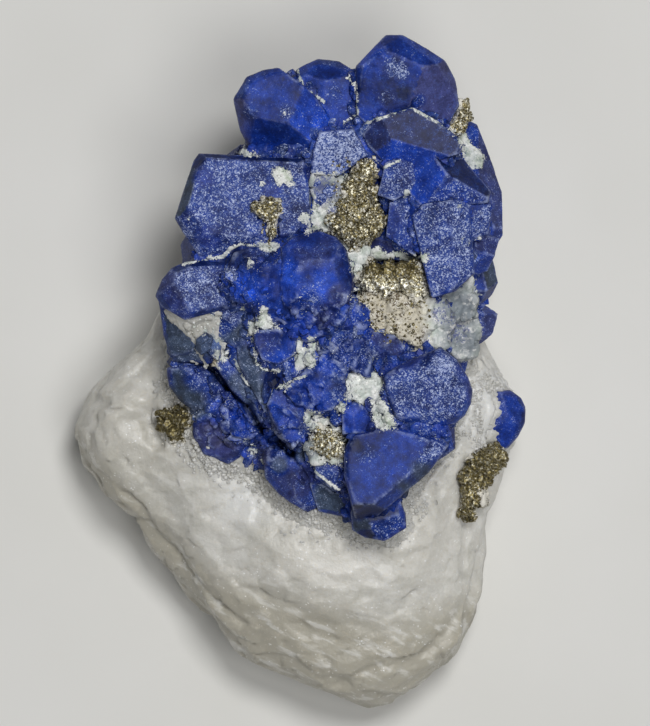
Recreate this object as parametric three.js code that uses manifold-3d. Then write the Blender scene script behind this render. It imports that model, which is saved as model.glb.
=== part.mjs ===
// Lazurite crystal specimen on white marble, with pyrite. Millimetres, +Z up. The specimen lies on the
// flat broken back of its marble, which is the plane z = 0, and its crystals face up. +Y runs towards the
// free end of the crystal column, +X to the right of it.
import * as THREE from "three";
import { ConvexGeometry } from "three/addons/geometries/ConvexGeometry.js";
import { mergeVertices } from "three/addons/utils/BufferGeometryUtils.js";
import Module from "manifold-3d";

const seam = 0.3; // clearance between neighbouring minerals
const sideLean = 1; // how far a crystal's side faces lean in above its widest section, degrees
const underLean = 26; // the same for its lower faces, downwards
const bedFloor = 20; // level of the socket in the marble that the crystals grow from
const bevelDip = 54; // slope of the narrow bevels along the crystal edges, degrees
const reach = 80; // half size of the block that a crystal is cut from

const wasm = await Module();
wasm.setup();

// ---------------------------------------------------------------- solids from three.js geometry

function solidOf(geometry) {
  const bare = geometry.clone();
  bare.deleteAttribute("normal");
  bare.deleteAttribute("uv");
  const merged = mergeVertices(bare, 1e-4);
  return new wasm.Manifold(
    new wasm.Mesh({
      numProp: 3,
      vertProperties: new Float32Array(merged.attributes.position.array),
      triVerts: new Uint32Array(merged.index.array),
    }),
  );
}

function joined(solids) {
  return solids.reduce((sum, solid) => sum.add(solid));
}

// The largest body of a solid, without the chips that a cut left behind.
function mainBody(solid) {
  return solid.decompose().reduce((best, body) => (body.volume() > best.volume() ? body : best));
}

function meshOf(name, solid, finish) {
  const { vertProperties, triVerts, numProp } = solid.getMesh();
  const corners = new Float32Array((vertProperties.length / numProp) * 3);
  for (let i = 0; i < corners.length / 3; i++) {
    corners.set(vertProperties.subarray(i * numProp, i * numProp + 3), i * 3);
  }
  const geometry = new THREE.BufferGeometry();
  geometry.setAttribute("position", new THREE.BufferAttribute(corners, 3));
  geometry.setIndex(new THREE.BufferAttribute(new Uint32Array(triVerts), 1));
  geometry.computeVertexNormals();
  const mesh = new THREE.Mesh(geometry, finish);
  mesh.name = name;
  return mesh;
}

// A repeatable source of numbers from 0 to 1.
function chance(seed) {
  let state = seed;
  return () => {
    state = (state * 1664525 + 1013904223) % 4294967296;
    return state / 4294967296;
  };
}

// ---------------------------------------------------------------- flat faces

// The direction that a face looks in: tilted by dip degrees from straight up, towards a compass angle
// with 0 at +X.
function facing(towards, dip) {
  const compass = THREE.MathUtils.degToRad(towards);
  const tilt = THREE.MathUtils.degToRad(dip);
  return new THREE.Vector3(
    Math.sin(tilt) * Math.cos(compass),
    Math.sin(tilt) * Math.sin(compass),
    Math.cos(tilt),
  );
}

// Everything inside a list of planes, each { normal, through }, moved outwards by grow.
function insidePlanes(planes, centre, grow) {
  const block = new THREE.BoxGeometry(reach, reach, reach).translate(...centre);
  return planes.reduce((solid, { normal, through }) => {
    const distance = normal.dot(through) + grow;
    return solid.trimByPlane([-normal.x, -normal.y, -normal.z], -distance);
  }, solidOf(block));
}

// The height of a tilted face above the point x, y.
function heightAt({ normal, through }, x, y) {
  return through.z - (normal.x * (x - through.x) + normal.y * (y - through.y)) / normal.z;
}

// A crystal seen from its front. Its outline is a convex polygon, anticlockwise, at its widest section,
// and the third number of a corner is the width of the bevel along the edge that starts there. Each crown
// is a point [x, y, z] with the front faces [towards, dip] that meet in it. A crystal on the rim narrows
// below its waist, by under degrees.
function crystalPlanes({ outline, waist, base, crowns, under = 0 }) {
  const front = crowns.flatMap(({ at, faces }) =>
    faces.map(([towards, dip]) => ({ normal: facing(towards, dip), through: new THREE.Vector3(...at) })),
  );
  const planes = [{ normal: new THREE.Vector3(0, 0, -1), through: new THREE.Vector3(0, 0, base) }, ...front];
  outline.forEach(([x, y, bevel = 0], i) => {
    const [nextX, nextY] = outline[(i + 1) % outline.length];
    const outwards = THREE.MathUtils.radToDeg(Math.atan2(nextY - y, nextX - x)) - 90;
    const through = new THREE.Vector3(x, y, waist);
    planes.push({ normal: facing(outwards, 90 - sideLean), through });
    if (under && i % 2 === 0) planes.push({ normal: facing(outwards, 90 + under), through });
    if (bevel > 0) {
      const inwards = facing(outwards, 90).multiplyScalar(-bevel);
      const inner = new THREE.Vector3((x + nextX) / 2, (y + nextY) / 2, 0).add(inwards);
      inner.z = Math.min(...front.map((face) => heightAt(face, inner.x, inner.y)));
      planes.push({ normal: facing(outwards, bevelDip), through: inner });
    }
  });
  return planes;
}

// A rhombic dodecahedron, the form that lazurite grows in: twelve faces at a distance of about r from its
// centre, turned by spin about Z and tip about X, with each face a little nearer or further as in a real
// crystal.
function dodecahedronPlanes({ at, r, spin = 0, tip = 0, base = 0 }) {
  const turn = new THREE.Euler(THREE.MathUtils.degToRad(tip), 0, THREE.MathUtils.degToRad(spin), "ZXY");
  const centre = new THREE.Vector3(...at);
  const uneven = chance(Math.round(Math.abs(at[0] * 31 + at[1] * 17 + at[2] * 7) * 10) + 1);
  const planes = [{ normal: new THREE.Vector3(0, 0, -1), through: new THREE.Vector3(0, 0, base) }];
  for (const [a, b] of [[0, 1], [0, 2], [1, 2]]) {
    for (const signA of [-1, 1]) {
      for (const signB of [-1, 1]) {
        const axis = [0, 0, 0];
        axis[a] = signA;
        axis[b] = signB;
        const normal = new THREE.Vector3(...axis).normalize().applyEuler(turn);
        const distance = r * (0.88 + 0.24 * uneven());
        planes.push({ normal, through: centre.clone().addScaledVector(normal, distance) });
      }
    }
  }
  return planes;
}

function crystalSolid(crystal, grow = 0) {
  const planes = crystal.outline ? crystalPlanes(crystal) : dodecahedronPlanes(crystal);
  const centre = crystal.outline ? [...crystal.outline[0].slice(0, 2), crystal.waist] : crystal.at;
  return insidePlanes(planes, centre, grow);
}

// ---------------------------------------------------------------- lazurite

// Each group is one intergrown solid, and a calcite seam parts it from the next one. A group that stands
// in front of its neighbours comes before them, and they are cut back to it.
const lazuriteGroups = {
  lazurite_frosted_crystal: {
    front: [
      {
        outline: [[1.1, 26.3], [5, 26], [8.7, 28.7], [6.9, 32.2], [2.3, 31.8], [1.5, 29.5]],
        waist: 31.5, base: bedFloor,
        crowns: [{ at: [4.8, 29.6, 35.4], faces: [[95, 7], [262, 12]] }],
      },
    ],
  },
  lazurite_cluster: {
    front: [
      // the beak: a broad face over a steep dark one, and its foot
      {
        outline: [[7.1, -19.5], [12.2, -19.6], [15.7, -14.9, 0.7], [18, -12.4, 0.7], [20.1, -10.6, 0.6],
          [18.8, -9, 0.6], [11.6, -7.2, 0.4], [6.6, -8.4, 0.5], [5.6, -10.5, 0.4], [5.6, -13.8, 0.5]],
        waist: 32, base: bedFloor, under: underLean,
        crowns: [{ at: [10, -17.6, 37.4], faces: [[112, 4], [270, 68]] },
          { at: [15.5, -12.2, 37], faces: [[335, 20]] }],
      },
      {
        outline: [[6.5, -19], [6.7, -21.2, 0.4], [8.4, -22.2, 0.4], [11, -22.6, 0.4], [13.9, -20.9, 0.4],
          [13.8, -19], [12.8, -16.5], [7, -16.5]],
        waist: 28, base: bedFloor, under: underLean,
        crowns: [{ at: [9.1, -20.2, 33.2], faces: [[70, 10], [296, 34], [218, 46]] }],
      },
      // right shoulder and the wedge below it
      {
        outline: [[12.6, -6.4, 0.5], [15.1, -7.3, 0.6], [18, -7.5, 0.8], [20.2, -7, 0.8],
          [21.6, -5.9, 0.8], [22.4, -4.3, 0.8], [22.6, -2.5, 0.8], [22, -0.8, 0.8], [20.6, 1.5, 0.7],
          [18.4, 3.1, 0.4], [13.3, 1.1, 0.4], [10.7, -0.6, 0.4], [11.2, -3.2, 0.4]],
        waist: 32, base: bedFloor, under: underLean,
        crowns: [
          { at: [17.2, 0.2, 38.8], faces: [[75, 34], [242, 10], [342, 24]] },
          { at: [18, -5.4, 37.9], faces: [[280, 42]] },
        ],
      },
      {
        outline: [[14.5, -11.7], [18, -12, 0.5], [20.4, -10.3, 0.6], [20.3, -7.2, 0.4], [14, -6.5],
          [13, -9]],
        waist: 29, base: bedFloor, under: underLean,
        crowns: [{ at: [16.6, -8.9, 34.8], faces: [[90, 25], [252, 24], [345, 30]] }],
      },
      // the big rounded crystal in the middle and the frosted slope to its left
      {
        outline: [[-2.4, 9], [1, 6, 0.5], [5, 6, 0.5], [6.1, 8.4, 0.7], [6.9, 11.4, 0.7],
          [6.3, 14.2, 0.7], [5.6, 16.3, 0.7], [4.4, 17.6, 0.7], [2.5, 18.5, 0.7], [0.5, 18.3, 0.7],
          [-1.4, 17.6, 0.7], [-2.7, 16.3, 0.5], [-3, 12]],
        waist: 35, base: bedFloor,
        crowns: [
          { at: [1.4, 14.6, 41.6], faces: [[91, 32], [273, 7]] },
          { at: [2, 9.8, 41], faces: [[262, 26]] },
          { at: [4.4, 13, 41.4], faces: [[2, 26]] },
          { at: [-1, 13, 41.2], faces: [[184, 24]] },
        ],
      },
      {
        outline: [[-9.3, 9.6, 0.4], [-6.5, 7.3, 0.4], [1, 6.4], [1.5, 12], [-2, 16.2], [-6.6, 16.5, 0.4],
          [-9, 15.7, 0.5], [-9.9, 13.2, 0.4]],
        waist: 32, base: bedFloor,
        crowns: [{ at: [-5, 12.8, 37.4], faces: [[118, 16], [238, 24], [342, 4]] }],
      },
      {
        outline: [[-5.6, 6.4], [0.5, 5.4], [2.5, 9], [-1.5, 12], [-6, 10.4]],
        waist: 33, base: bedFloor,
        crowns: [{ at: [-1.6, 9.4, 38.6], faces: [[75, 5], [248, 18], [200, 22]] }],
      },
      { at: [-8.6, 12.6, 32.6], r: 2.6, spin: 15, tip: 40 },
      // left shoulder and the wall below it
      {
        outline: [[-18.6, 8.6, 0.6], [-15.6, 6.8, 0.6], [-9.9, 8.2, 0.4], [-9.6, 11], [-10.4, 14.8, 0.8],
          [-15.2, 14.6, 0.9], [-17.3, 13.7, 0.9], [-18.6, 12.2, 0.9], [-19.4, 10, 0.8]],
        waist: 30, base: bedFloor, under: underLean,
        crowns: [{ at: [-16.2, 10, 35.2], faces: [[85, 6], [205, 36]] }],
      },
      {
        outline: [[-17.6, 1.8, 0.4], [-14.5, 2.2], [-13.4, 8], [-17.6, 10.6], [-19.2, 10, 0.5],
          [-18.5, 5, 0.5]],
        waist: 25, base: 14, under: underLean,
        crowns: [{ at: [-16.2, 6, 31.4], faces: [[188, 34], [335, 14], [250, 20]] }],
      },
      {
        outline: [[-16.8, 0.9, 0.5], [-12.4, 0.5, 0.4], [-11.1, 1.4, 0.4], [-11.8, 4.2], [-14.5, 5.6],
          [-17.9, 4.5, 0.4], [-18.1, 2.5, 0.5]],
        waist: 25, base: 14, under: underLean,
        crowns: [{ at: [-14.5, 3, 30.2], faces: [[95, 18], [245, 25], [340, 18]] }],
      },
      // long narrow crystals beside the crevice
      {
        outline: [[-10.9, 4.2], [-8, 2.9], [-7, 5], [-8.6, 8.3], [-10.5, 8.3], [-11.4, 6.4, 0.4]],
        waist: 30, base: bedFloor,
        crowns: [{ at: [-9.2, 6.2, 34.4], faces: [[60, 12], [222, 36], [320, 20]] }],
      },
      {
        outline: [[-8.6, 3.6], [-8.2, 0.6], [-6.4, -2.8], [-5, -5.4], [-3.6, -5], [-4, -1],
          [-5.4, 3], [-7.2, 5.2]],
        waist: 29, base: bedFloor,
        crowns: [{ at: [-5.9, 0.4, 34.4], faces: [[40, 14], [205, 30], [320, 16]] }],
      },
      {
        outline: [[-11.5, 1.2], [-10.6, -1.3, 0.4], [-8.2, -4.7, 0.4], [-6.4, -7.3], [-5.1, -6.6],
          [-7, -2.6], [-9.2, 1.5], [-10.6, 2]],
        waist: 27, base: bedFloor,
        crowns: [{ at: [-8.6, -1.8, 32], faces: [[45, 6], [214, 24], [310, 10]] }],
      },
      // the small crystals below the big one
      {
        outline: [[0.2, 4.1], [4.6, 4.2], [5.3, 7], [4, 9], [0, 9], [-0.7, 6.3]],
        waist: 33, base: bedFloor,
        crowns: [{ at: [2.5, 7.2, 38.8], faces: [[95, 8], [248, 26], [335, 26]] }],
      },
      {
        outline: [[-5.3, 1.4], [-3, 0.9], [-0.9, 2.2], [-0.9, 4.4], [-3, 5.7], [-6.4, 5.4],
          [-6.2, 3.6]],
        waist: 33, base: bedFloor,
        crowns: [{ at: [-3, 3.9, 37.8], faces: [[192, 10], [330, 28], [262, 22]] }],
      },
      {
        outline: [[-0.6, -4.8], [4, -5.2], [6.2, -2.4], [5, 1.8], [2, 2.4], [-0.6, -0.6],
          [-2.8, -2.4]],
        waist: 33, base: bedFloor,
        crowns: [{ at: [2.8, -1, 38.2], faces: [[100, 16], [222, 20], [338, 22]] }],
      },
      {
        outline: [[3, -0.2], [9.8, -0.4], [10.6, 1.7], [8.3, 5.1], [4.5, 5.2], [2.2, 3.5]],
        waist: 32, base: bedFloor,
        crowns: [{ at: [6.3, 2.2, 37], faces: [[85, 14], [255, 14], [350, 18]] }],
      },
      {
        outline: [[9, 1.3], [12.8, 1.5], [13.8, 3.3], [12.2, 4.8], [8.5, 5.3], [7.5, 3.5]],
        waist: 31, base: bedFloor,
        crowns: [{ at: [11, 3.4, 35.8], faces: [[100, 20], [270, 18], [0, 22]] }],
      },
      {
        outline: [[5.4, -8.4], [8.4, -8.2], [9.2, -6.4], [8.2, -4.6], [6.8, -4], [5.3, -5]],
        waist: 33, base: bedFloor,
        crowns: [{ at: [6.8, -5.9, 37.6], faces: [[75, 8], [240, 16], [335, 24]] }],
      },
      {
        outline: [[-3.4, -7.6], [-1.6, -10, 0.4], [0.6, -9.4], [1.2, -5.2], [-0.8, -2.4],
          [-3.8, -2.4], [-4.7, -4.5]],
        waist: 30, base: bedFloor,
        crowns: [{ at: [-1.4, -5.4, 36], faces: [[75, 14], [235, 26], [335, 12]] }],
      },
      {
        outline: [[1.6, -11.6], [1.8, -14.2], [4.4, -16], [6.4, -15.4], [5.6, -12.4]],
        waist: 28, base: bedFloor,
        crowns: [{ at: [4, -13.2, 33.6], faces: [[95, 14], [245, 22], [340, 10]] }],
      },
      { at: [6.4, 6.6, 34], r: 2.2, spin: 40, tip: 20 },
    ],
    // older crystals behind, which carry the ones in front
    back: [
      { at: [-10.6, 6.8, 23.8], r: 5.8, spin: 10, tip: 12 },
      { at: [-3.6, 1.4, 24.6], r: 6.6, base: bedFloor, spin: 35, tip: 18 },
      { at: [5.4, -3.8, 24.6], r: 7.2, base: bedFloor, spin: 60, tip: 10 },
      { at: [13.4, -2.6, 23.8], r: 6.4, base: bedFloor, spin: 25, tip: 22 },
      { at: [2.6, 9.6, 25.6], r: 6.4, base: bedFloor, spin: 50, tip: 15 },
      { at: [11.2, 8.4, 23.4], r: 6.6, base: bedFloor, spin: 5, tip: 25 },
      { at: [15.8, 6.4, 21.4], r: 5, base: bedFloor, spin: 45, tip: 30 },
      { at: [0.6, -8.4, 23.4], r: 5, base: bedFloor, spin: 15, tip: 35 },
      { at: [8.8, -12.4, 24.4], r: 5.6, base: bedFloor, spin: 40, tip: 12 },
      { at: [-12.8, 9.6, 18.6], r: 4.4, spin: 30, tip: 50 },
    ],
  },
  lazurite_right_ridge: {
    front: [
      // shoulder under the top crystal
      {
        outline: [[8.1, 31.4], [8.9, 29.8], [10.6, 28], [13, 27.4], [17.6, 27.6], [20.9, 28.9, 0.4],
          [21.4, 30.4, 0.4], [20, 31.6], [18, 33], [14.7, 34.9], [9.6, 33.4]],
        waist: 32, base: bedFloor,
        crowns: [{ at: [14.4, 30, 37], faces: [[72, 9], [255, 26]] },
          { at: [10.8, 31.4, 36.6], faces: [[188, 22]] }],
      },
      // smooth face with a dark steep one behind it
      {
        outline: [[13.8, 24], [16, 21.6], [20.5, 22], [24.6, 22], [25, 23.9], [21.4, 28.1],
          [18.6, 28.9], [13.4, 28.5]],
        waist: 31.5, base: bedFloor,
        crowns: [{ at: [19.3, 26, 37.6], faces: [[172, 20], [48, 50], [292, 18]] }],
      },
      // the long frosted blade
      {
        outline: [[17.2, 9.7], [20.4, 10.7, 0.5], [22.9, 13, 0.5], [22.7, 16.4, 0.4], [22.3, 22],
          [20.6, 22.9], [16, 22.1], [14.5, 20.6]],
        waist: 32, base: bedFloor, under: underLean,
        crowns: [{ at: [19.6, 19.6, 38], faces: [[196, 9], [8, 26]] }],
      },
      {
        outline: [[21.2, 18.6], [22.8, 17.6], [24.8, 18.2], [25.3, 22], [24.2, 23.2],
          [20.8, 22.6]],
        waist: 29, base: bedFloor,
        crowns: [{ at: [22.6, 20.6, 35.8], faces: [[345, 26], [180, 10], [60, 20]] }],
      },
      // right flank
      {
        outline: [[20, 13], [24.6, 14.6, 0.8], [26.8, 18.2, 1], [26.7, 24, 1], [25.1, 28.6, 0.8],
          [23.4, 33, 0.6], [21.7, 33.8, 0.4], [19.5, 30]],
        waist: 24, base: 13, under: underLean,
        crowns: [{ at: [24.4, 22, 30], faces: [[0, 40], [150, 14], [270, 22], [60, 30]] }],
      },
      { at: [22.7, 16.3, 30.6], r: 2.7, spin: 25, tip: 10 },
      { at: [23.2, 12, 24.4], r: 2.7, spin: 50, tip: 35 },
      // the small ones beside the pyrite
      {
        outline: [[10.1, 23.4], [12.2, 22.6], [15.2, 24.2], [16.7, 26.8], [13.4, 28.6],
          [11, 27.6]],
        waist: 31.5, base: bedFloor,
        crowns: [{ at: [13.2, 25.6, 36.4], faces: [[215, 9], [45, 14], [330, 12]] }],
      },
      {
        outline: [[11.1, 17.8], [15.1, 15.2], [15.4, 19], [14.8, 22.2], [11.7, 22.4]],
        waist: 31.5, base: bedFloor,
        crowns: [{ at: [13.4, 19.6, 35.8], faces: [[205, 10], [30, 12], [290, 14]] }],
      },
      {
        outline: [[8.8, 15.2], [14.8, 14.6], [15.6, 17], [11, 19.5], [8.8, 18]],
        waist: 28, base: bedFloor,
        crowns: [{ at: [11.4, 17.2, 32.6], faces: [[100, 14], [245, 30], [325, 26]] }],
      },
      {
        outline: [[9.6, 18], [12.6, 17.4], [13, 25], [9.6, 29.4], [9.2, 25]],
        waist: 29, base: bedFloor,
        crowns: [{ at: [11.6, 22, 33.2], faces: [[185, 26], [20, 12]] }],
      },
      { at: [10.4, 28.4, 31.4], r: 2.8, spin: 35, tip: 15 },
    ],
    // older crystals behind
    back: [
      { at: [15.4, 22.8, 24], r: 6.4, base: bedFloor, spin: 20, tip: 20 },
      { at: [17, 15, 22.6], r: 5.4, base: bedFloor, spin: 48, tip: 12 },
      { at: [9, 22.2, 24.6], r: 5.6, base: bedFloor, spin: 30, tip: 28 },
      { at: [14.8, 29.8, 23.4], r: 5.2, base: bedFloor, spin: 10, tip: 40 },
      { at: [19.8, 25.4, 16], r: 4.4, spin: 0, tip: 25 },
      { at: [19.6, 16.6, 14.6], r: 3.9, spin: 35, tip: 45 },
    ],
  },
  lazurite_top_crystal: {
    front: [
      {
        outline: [[7.3, 34], [10, 31], [18.5, 31], [20.9, 35.4, 0.4], [20.3, 39, 0.5], [19, 41.3, 0.6],
          [16.5, 42.9, 0.8], [13.3, 44.7, 0.8], [11.2, 44.7, 0.8], [7.2, 40.6, 0.7], [7.2, 38.2]],
        waist: 30, base: bedFloor, under: underLean,
        crowns: [{ at: [16.1, 40.4, 35.4], faces: [[66, 38], [246, 9], [323, 30]] },
          { at: [10.6, 39, 36], faces: [[138, 20]] }],
      },
    ],
    back: [
      { at: [14.4, 36.4, 18.2], r: 4.7, spin: 10, tip: 35 },
      { at: [10.4, 35.2, 14.6], r: 4, spin: 40, tip: 15 },
    ],
  },
  lazurite_left_block: {
    front: [
      {
        outline: [[-15.2, 17.6, 0.4], [-13.7, 15.2, 0.4], [-10.7, 15.5], [-4.5, 16.9], [0.7, 18.3],
          [1.2, 19.4], [0.9, 25, 0.4], [0.2, 28.2, 0.6], [-13.7, 28.9, 1.2], [-14.4, 27.9, 1.1],
          [-16.9, 20.2, 0.8]],
        waist: 31, base: bedFloor, under: underLean,
        crowns: [{ at: [-8, 18, 36.2], faces: [[100, 3], [266, 34]] },
          { at: [-14.4, 20.4, 35.9], faces: [[206, 28]] }],
      },
      { at: [-14.3, 16.2, 25], r: 2.1, spin: 12, tip: 28 },
    ],
    back: [
      { at: [-3, 22, 24.4], r: 6.2, base: bedFloor, spin: 52, tip: 22 },
      { at: [-8.8, 21.6, 19.6], r: 4.8, spin: 22, tip: 40 },
      { at: [-7.6, 25.4, 15], r: 3.8, spin: 5, tip: 20 },
      { at: [-12, 16.4, 17.6], r: 3.5, spin: 40, tip: 32 },
    ],
  },
  lazurite_upper_left: {
    front: [
      {
        outline: [[-6, 28.2], [0.8, 27.4], [3.2, 31.2], [3.9, 34], [3.2, 35.8], [1.4, 37.1],
          [-0.3, 39.7, 0.5], [-1, 40.6, 0.8], [-5, 40.1, 0.9], [-7.4, 39.1, 0.9], [-9.1, 36.2, 0.9],
          [-8.2, 32, 0.5]],
        waist: 30, base: bedFloor, under: underLean,
        crowns: [{ at: [-3.5, 33.2, 35], faces: [[106, 8], [256, 40]] },
          { at: [0.1, 35.6, 34.4], faces: [[352, 24]] }],
      },
      {
        outline: [[-0.6, 34], [4.4, 32.3], [5.7, 32.9], [7.2, 34.3], [7.2, 38.2, 0.5], [6.6, 40.2, 0.7],
          [5, 41.2, 0.8], [2.1, 41.6, 0.8], [0.3, 40.8, 0.7], [-0.8, 40.1]],
        waist: 28, base: bedFloor, under: underLean,
        crowns: [{ at: [3.3, 38.6, 33], faces: [[88, 36], [196, 11], [335, 12]] }],
      },
    ],
    back: [
      { at: [-2.6, 33.6, 19.4], r: 4.6, spin: 40, tip: 15 },
      { at: [3.4, 35.6, 19.4], r: 4.4, spin: 12, tip: 35 },
      { at: [0.2, 33.4, 13.6], r: 3.7, spin: 25, tip: 10 },
      { at: [1.8, 30.4, 24.6], r: 4.4, base: bedFloor, spin: 42, tip: 20 },
    ],
  },
  lazurite_lower_left: {
    front: [
      {
        outline: [[-17.8, -1.9, 0.5], [-16.4, -3.9, 0.5], [-14.4, -5.4, 0.4], [-11, -3.6], [-10.5, -2.1],
          [-11.6, -0.9], [-13.7, 0.7, 0.4], [-16.8, 1, 0.5], [-18.1, 0.3, 0.5]],
        waist: 24, base: bedFloor, under: underLean,
        crowns: [{ at: [-13.9, -1.2, 28.8], faces: [[92, 14], [215, 30], [325, 16]] }],
      },
      {
        outline: [[-13.3, -11.1, 0.5], [-10, -12.4, 0.5], [-8.4, -11.6, 0.4], [-7, -9.2], [-9, -4.6],
          [-13, -4.6], [-14.7, -7, 0.5], [-14.4, -9.3, 0.5]],
        waist: 23, base: bedFloor, under: underLean,
        crowns: [{ at: [-10.6, -7.4, 27.2], faces: [[90, 12], [230, 26], [325, 10]] }],
      },
      {
        outline: [[-9.8, -8.8], [-6.6, -9], [-5.6, -8], [-7.4, -5.2], [-10.4, -4.4],
          [-11, -6.5]],
        waist: 24, base: bedFloor, under: underLean,
        crowns: [{ at: [-8.5, -6.4, 28.8], faces: [[60, 8], [222, 10]] }],
      },
      { at: [-7, -10.4, 22.8], r: 2.5, spin: 30, tip: 20 },
    ],
    back: [
      { at: [-11.6, -5, 19.4], r: 3.4, base: bedFloor, spin: 15, tip: 25 },
    ],
  },
  lazurite_lower_band: {
    front: [
      {
        outline: [[-3.4, -16, 0.5], [-1.5, -17.6, 0.5], [0.8, -18.8, 0.5], [2.8, -17.8], [1.8, -14.2],
          [-0.6, -11.9], [-3.4, -10], [-5, -10.8, 0.4], [-4.9, -14.3, 0.5]],
        waist: 24.5, base: bedFloor, under: underLean,
        crowns: [{ at: [-1.6, -13, 30.2], faces: [[72, 20], [238, 24], [330, 26]] }],
      },
      {
        outline: [[2.2, -18.7, 0.4], [5.8, -19.5, 0.4], [7.4, -18], [6.5, -14], [2, -12.4], [1, -15.2]],
        waist: 24, base: bedFloor, under: underLean,
        crowns: [{ at: [4.6, -15.8, 29.6], faces: [[75, 10], [250, 30], [325, 18]] }],
      },
    ],
    back: [
      { at: [1.4, -14.8, 20.8], r: 3.2, base: bedFloor, spin: 20, tip: 30 },
    ],
  },
  lazurite_right_small: { front: [{ at: [23.3, 6.6, 19.5], r: 2.5, spin: 20, tip: 30 }] },
  lazurite_edge_crystal: {
    front: [
      {
        outline: [[24, -9.6], [27.6, -10.5, 0.4], [29.1, -8.8, 0.5], [29.9, -7, 0.5], [30.1, -5, 0.5],
          [29.5, -3.7, 0.5], [28, -2.6], [24, -2.8]],
        waist: 14, base: 6, under: underLean,
        crowns: [{ at: [27.6, -6, 19], faces: [[15, 34], [180, 10], [300, 26]] }],
      },
    ],
  },
};

// ---------------------------------------------------------------- pyrite

// Each mass is a heap of grown-together cubes at the points [x, y, z, size].
const pyriteOnFace = [[-4.5, 21.4, 36.2, 2.2], [-4, 20, 36, 1.5], [-4.2, 18.9, 35.8, 1.7]];
const pyriteMasses = {
  pyrite_upper: [[8.6, 27, 33.8, 2.7], [7.6, 25, 34, 3], [8.2, 23, 34.2, 3], [6.9, 21.4, 34.4, 3.3],
    [8.9, 20.2, 34.2, 3.2], [5.6, 19.4, 33.8, 3], [7.4, 18.2, 33.8, 3]],
  pyrite_centre: [[9.2, 12.6, 33, 3.2], [11.4, 12.4, 33.2, 3.4], [13.6, 12.6, 33.6, 3.2],
    [15.6, 12.8, 33.4, 3], [15.4, 10.9, 33, 2.6]],
  pyrite_top_right: [[20.9, 33.6, 29.4, 2.6], [21, 35, 28.6, 1.8], [20.3, 32.6, 29.8, 2.1]],
  pyrite_left: [[-17.3, -6.8, 22.4, 3.2], [-15.7, -6, 22.6, 2.4], [-16.6, -8.4, 22, 2]],
  pyrite_right: [[24.4, -12.4, 19.2, 3.4], [23.2, -14.6, 20, 3], [25.8, -11.6, 18, 2.6],
    [23.2, -16.8, 19.8, 3], [22.4, -18.8, 19.6, 1.8]],
  pyrite_lower: [[3.4, -9.6, 34, 2.5], [4.6, -10.6, 33.8, 1.9], [2.4, -8.4, 33.6, 1.8]],
};

function pyriteSolid(points, seed, grow = 0) {
  const random = chance(seed);
  const cubes = points.map(([x, y, z, size]) => {
    const cube = new THREE.BoxGeometry(size + 2 * grow, size * 0.92 + 2 * grow, size + 2 * grow);
    cube.rotateX(random() * 1.5).rotateY(random() * 1.5).rotateZ(random() * 1.5);
    return solidOf(cube.translate(x, y, z));
  });
  return joined(cubes);
}

// ---------------------------------------------------------------- marble

const marbleCentre = new THREE.Vector2(2, -8);
const marbleWaist = 9.5; // height of the widest section
const marbleRise = 14; // from the widest section to the top of the dome under the crystals
const marbleDrop = 13; // the same downwards, before the back is cut flat
const marbleDetail = 6;
// Plan of the socket in the marble, whose floor is the bed that the crystals grow from.
const socketPlan = [
  [-13, 9], [-13, 2.4], [-15, 1.6], [-18.4, 1.4], [-18.6, 0.2], [-18.2, -2.2], [-16.6, -4.5], [-15, -6],
  [-15.1, -7], [-14.8, -9.6], [-13.5, -11.6], [-10, -12.9], [-7.5, -13.4], [-5.6, -13.2], [-5.3, -14.6],
  [-3.6, -16.5], [-1.7, -18.1], [0.8, -19.3], [5.9, -20], [6.2, -21.4], [8.2, -22.7], [11.1, -23.1],
  [14.4, -21.2], [14.3, -17.6], [18.4, -12.6], [20.8, -10.5], [20.7, -7.5], [22.1, -6.1], [22.9, -4.4],
  [23.1, -2.4], [22.4, -0.6], [21, 2], [20.8, 12], [20.2, 22], [17, 28], [12, 32], [4, 32], [-3, 29],
  [-8, 24], [-10.4, 17],
];

// The plan outline, anticlockwise from the left end. The stretch behind the crystal column is hidden by it.
const marbleOutline = [
  [-30.4, -8], [-30.2, -10.8], [-28.7, -14.3], [-26.4, -17], [-23, -19.2], [-21.6, -21.4],
  [-18.8, -25.6], [-16.2, -29.2], [-14.4, -31.6], [-11.2, -34.6], [-8.4, -38], [-4.2, -40.6], [0, -42],
  [4, -44.2], [9.5, -45.8], [12, -45], [15.4, -42.7], [18, -41], [22, -37.8], [22.4, -35.6],
  [23.4, -31.6], [24.7, -28], [24.5, -23], [24.9, -19], [26.6, -15], [27.8, -10], [28, -6.4],
  [28.2, -3.2], [26.8, -0.8], [25.2, 1.6], [23.4, 6], [22.6, 10], [21.8, 18], [20, 26], [16, 32],
  [10, 35], [2, 34], [-5, 30], [-10.5, 22], [-14.5, 14], [-18.6, 8.6], [-20.4, 6.2], [-21.9, 3.5],
  [-24.6, 1.3], [-27.9, -1], [-28.9, -3], [-29.8, -5],
];

// Dents and swellings of the broken surface: [x, y, z, radius, amount], amount above 0 swells.
const marbleRelief = [
  [-23.4, -2, 22, 4.6, -2.4],
  [-25.6, -9, 20, 5, 1.4],
  [-20, -15.5, 19, 4, -1.2],
  [-13, -23, 20, 6, -1.2],
  [-3, -33, 19, 5, -1.4],
  [2, -26, 24, 8, 1.4],
  [10, -33, 22, 6, -1.6],
  [12, -24, 23, 6, 1],
  [20, -31, 20, 4.4, -1.6],
  [21.6, -22, 20, 4, -1.2],
  [25, -3, 20, 4.4, 1.2],
];

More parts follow.
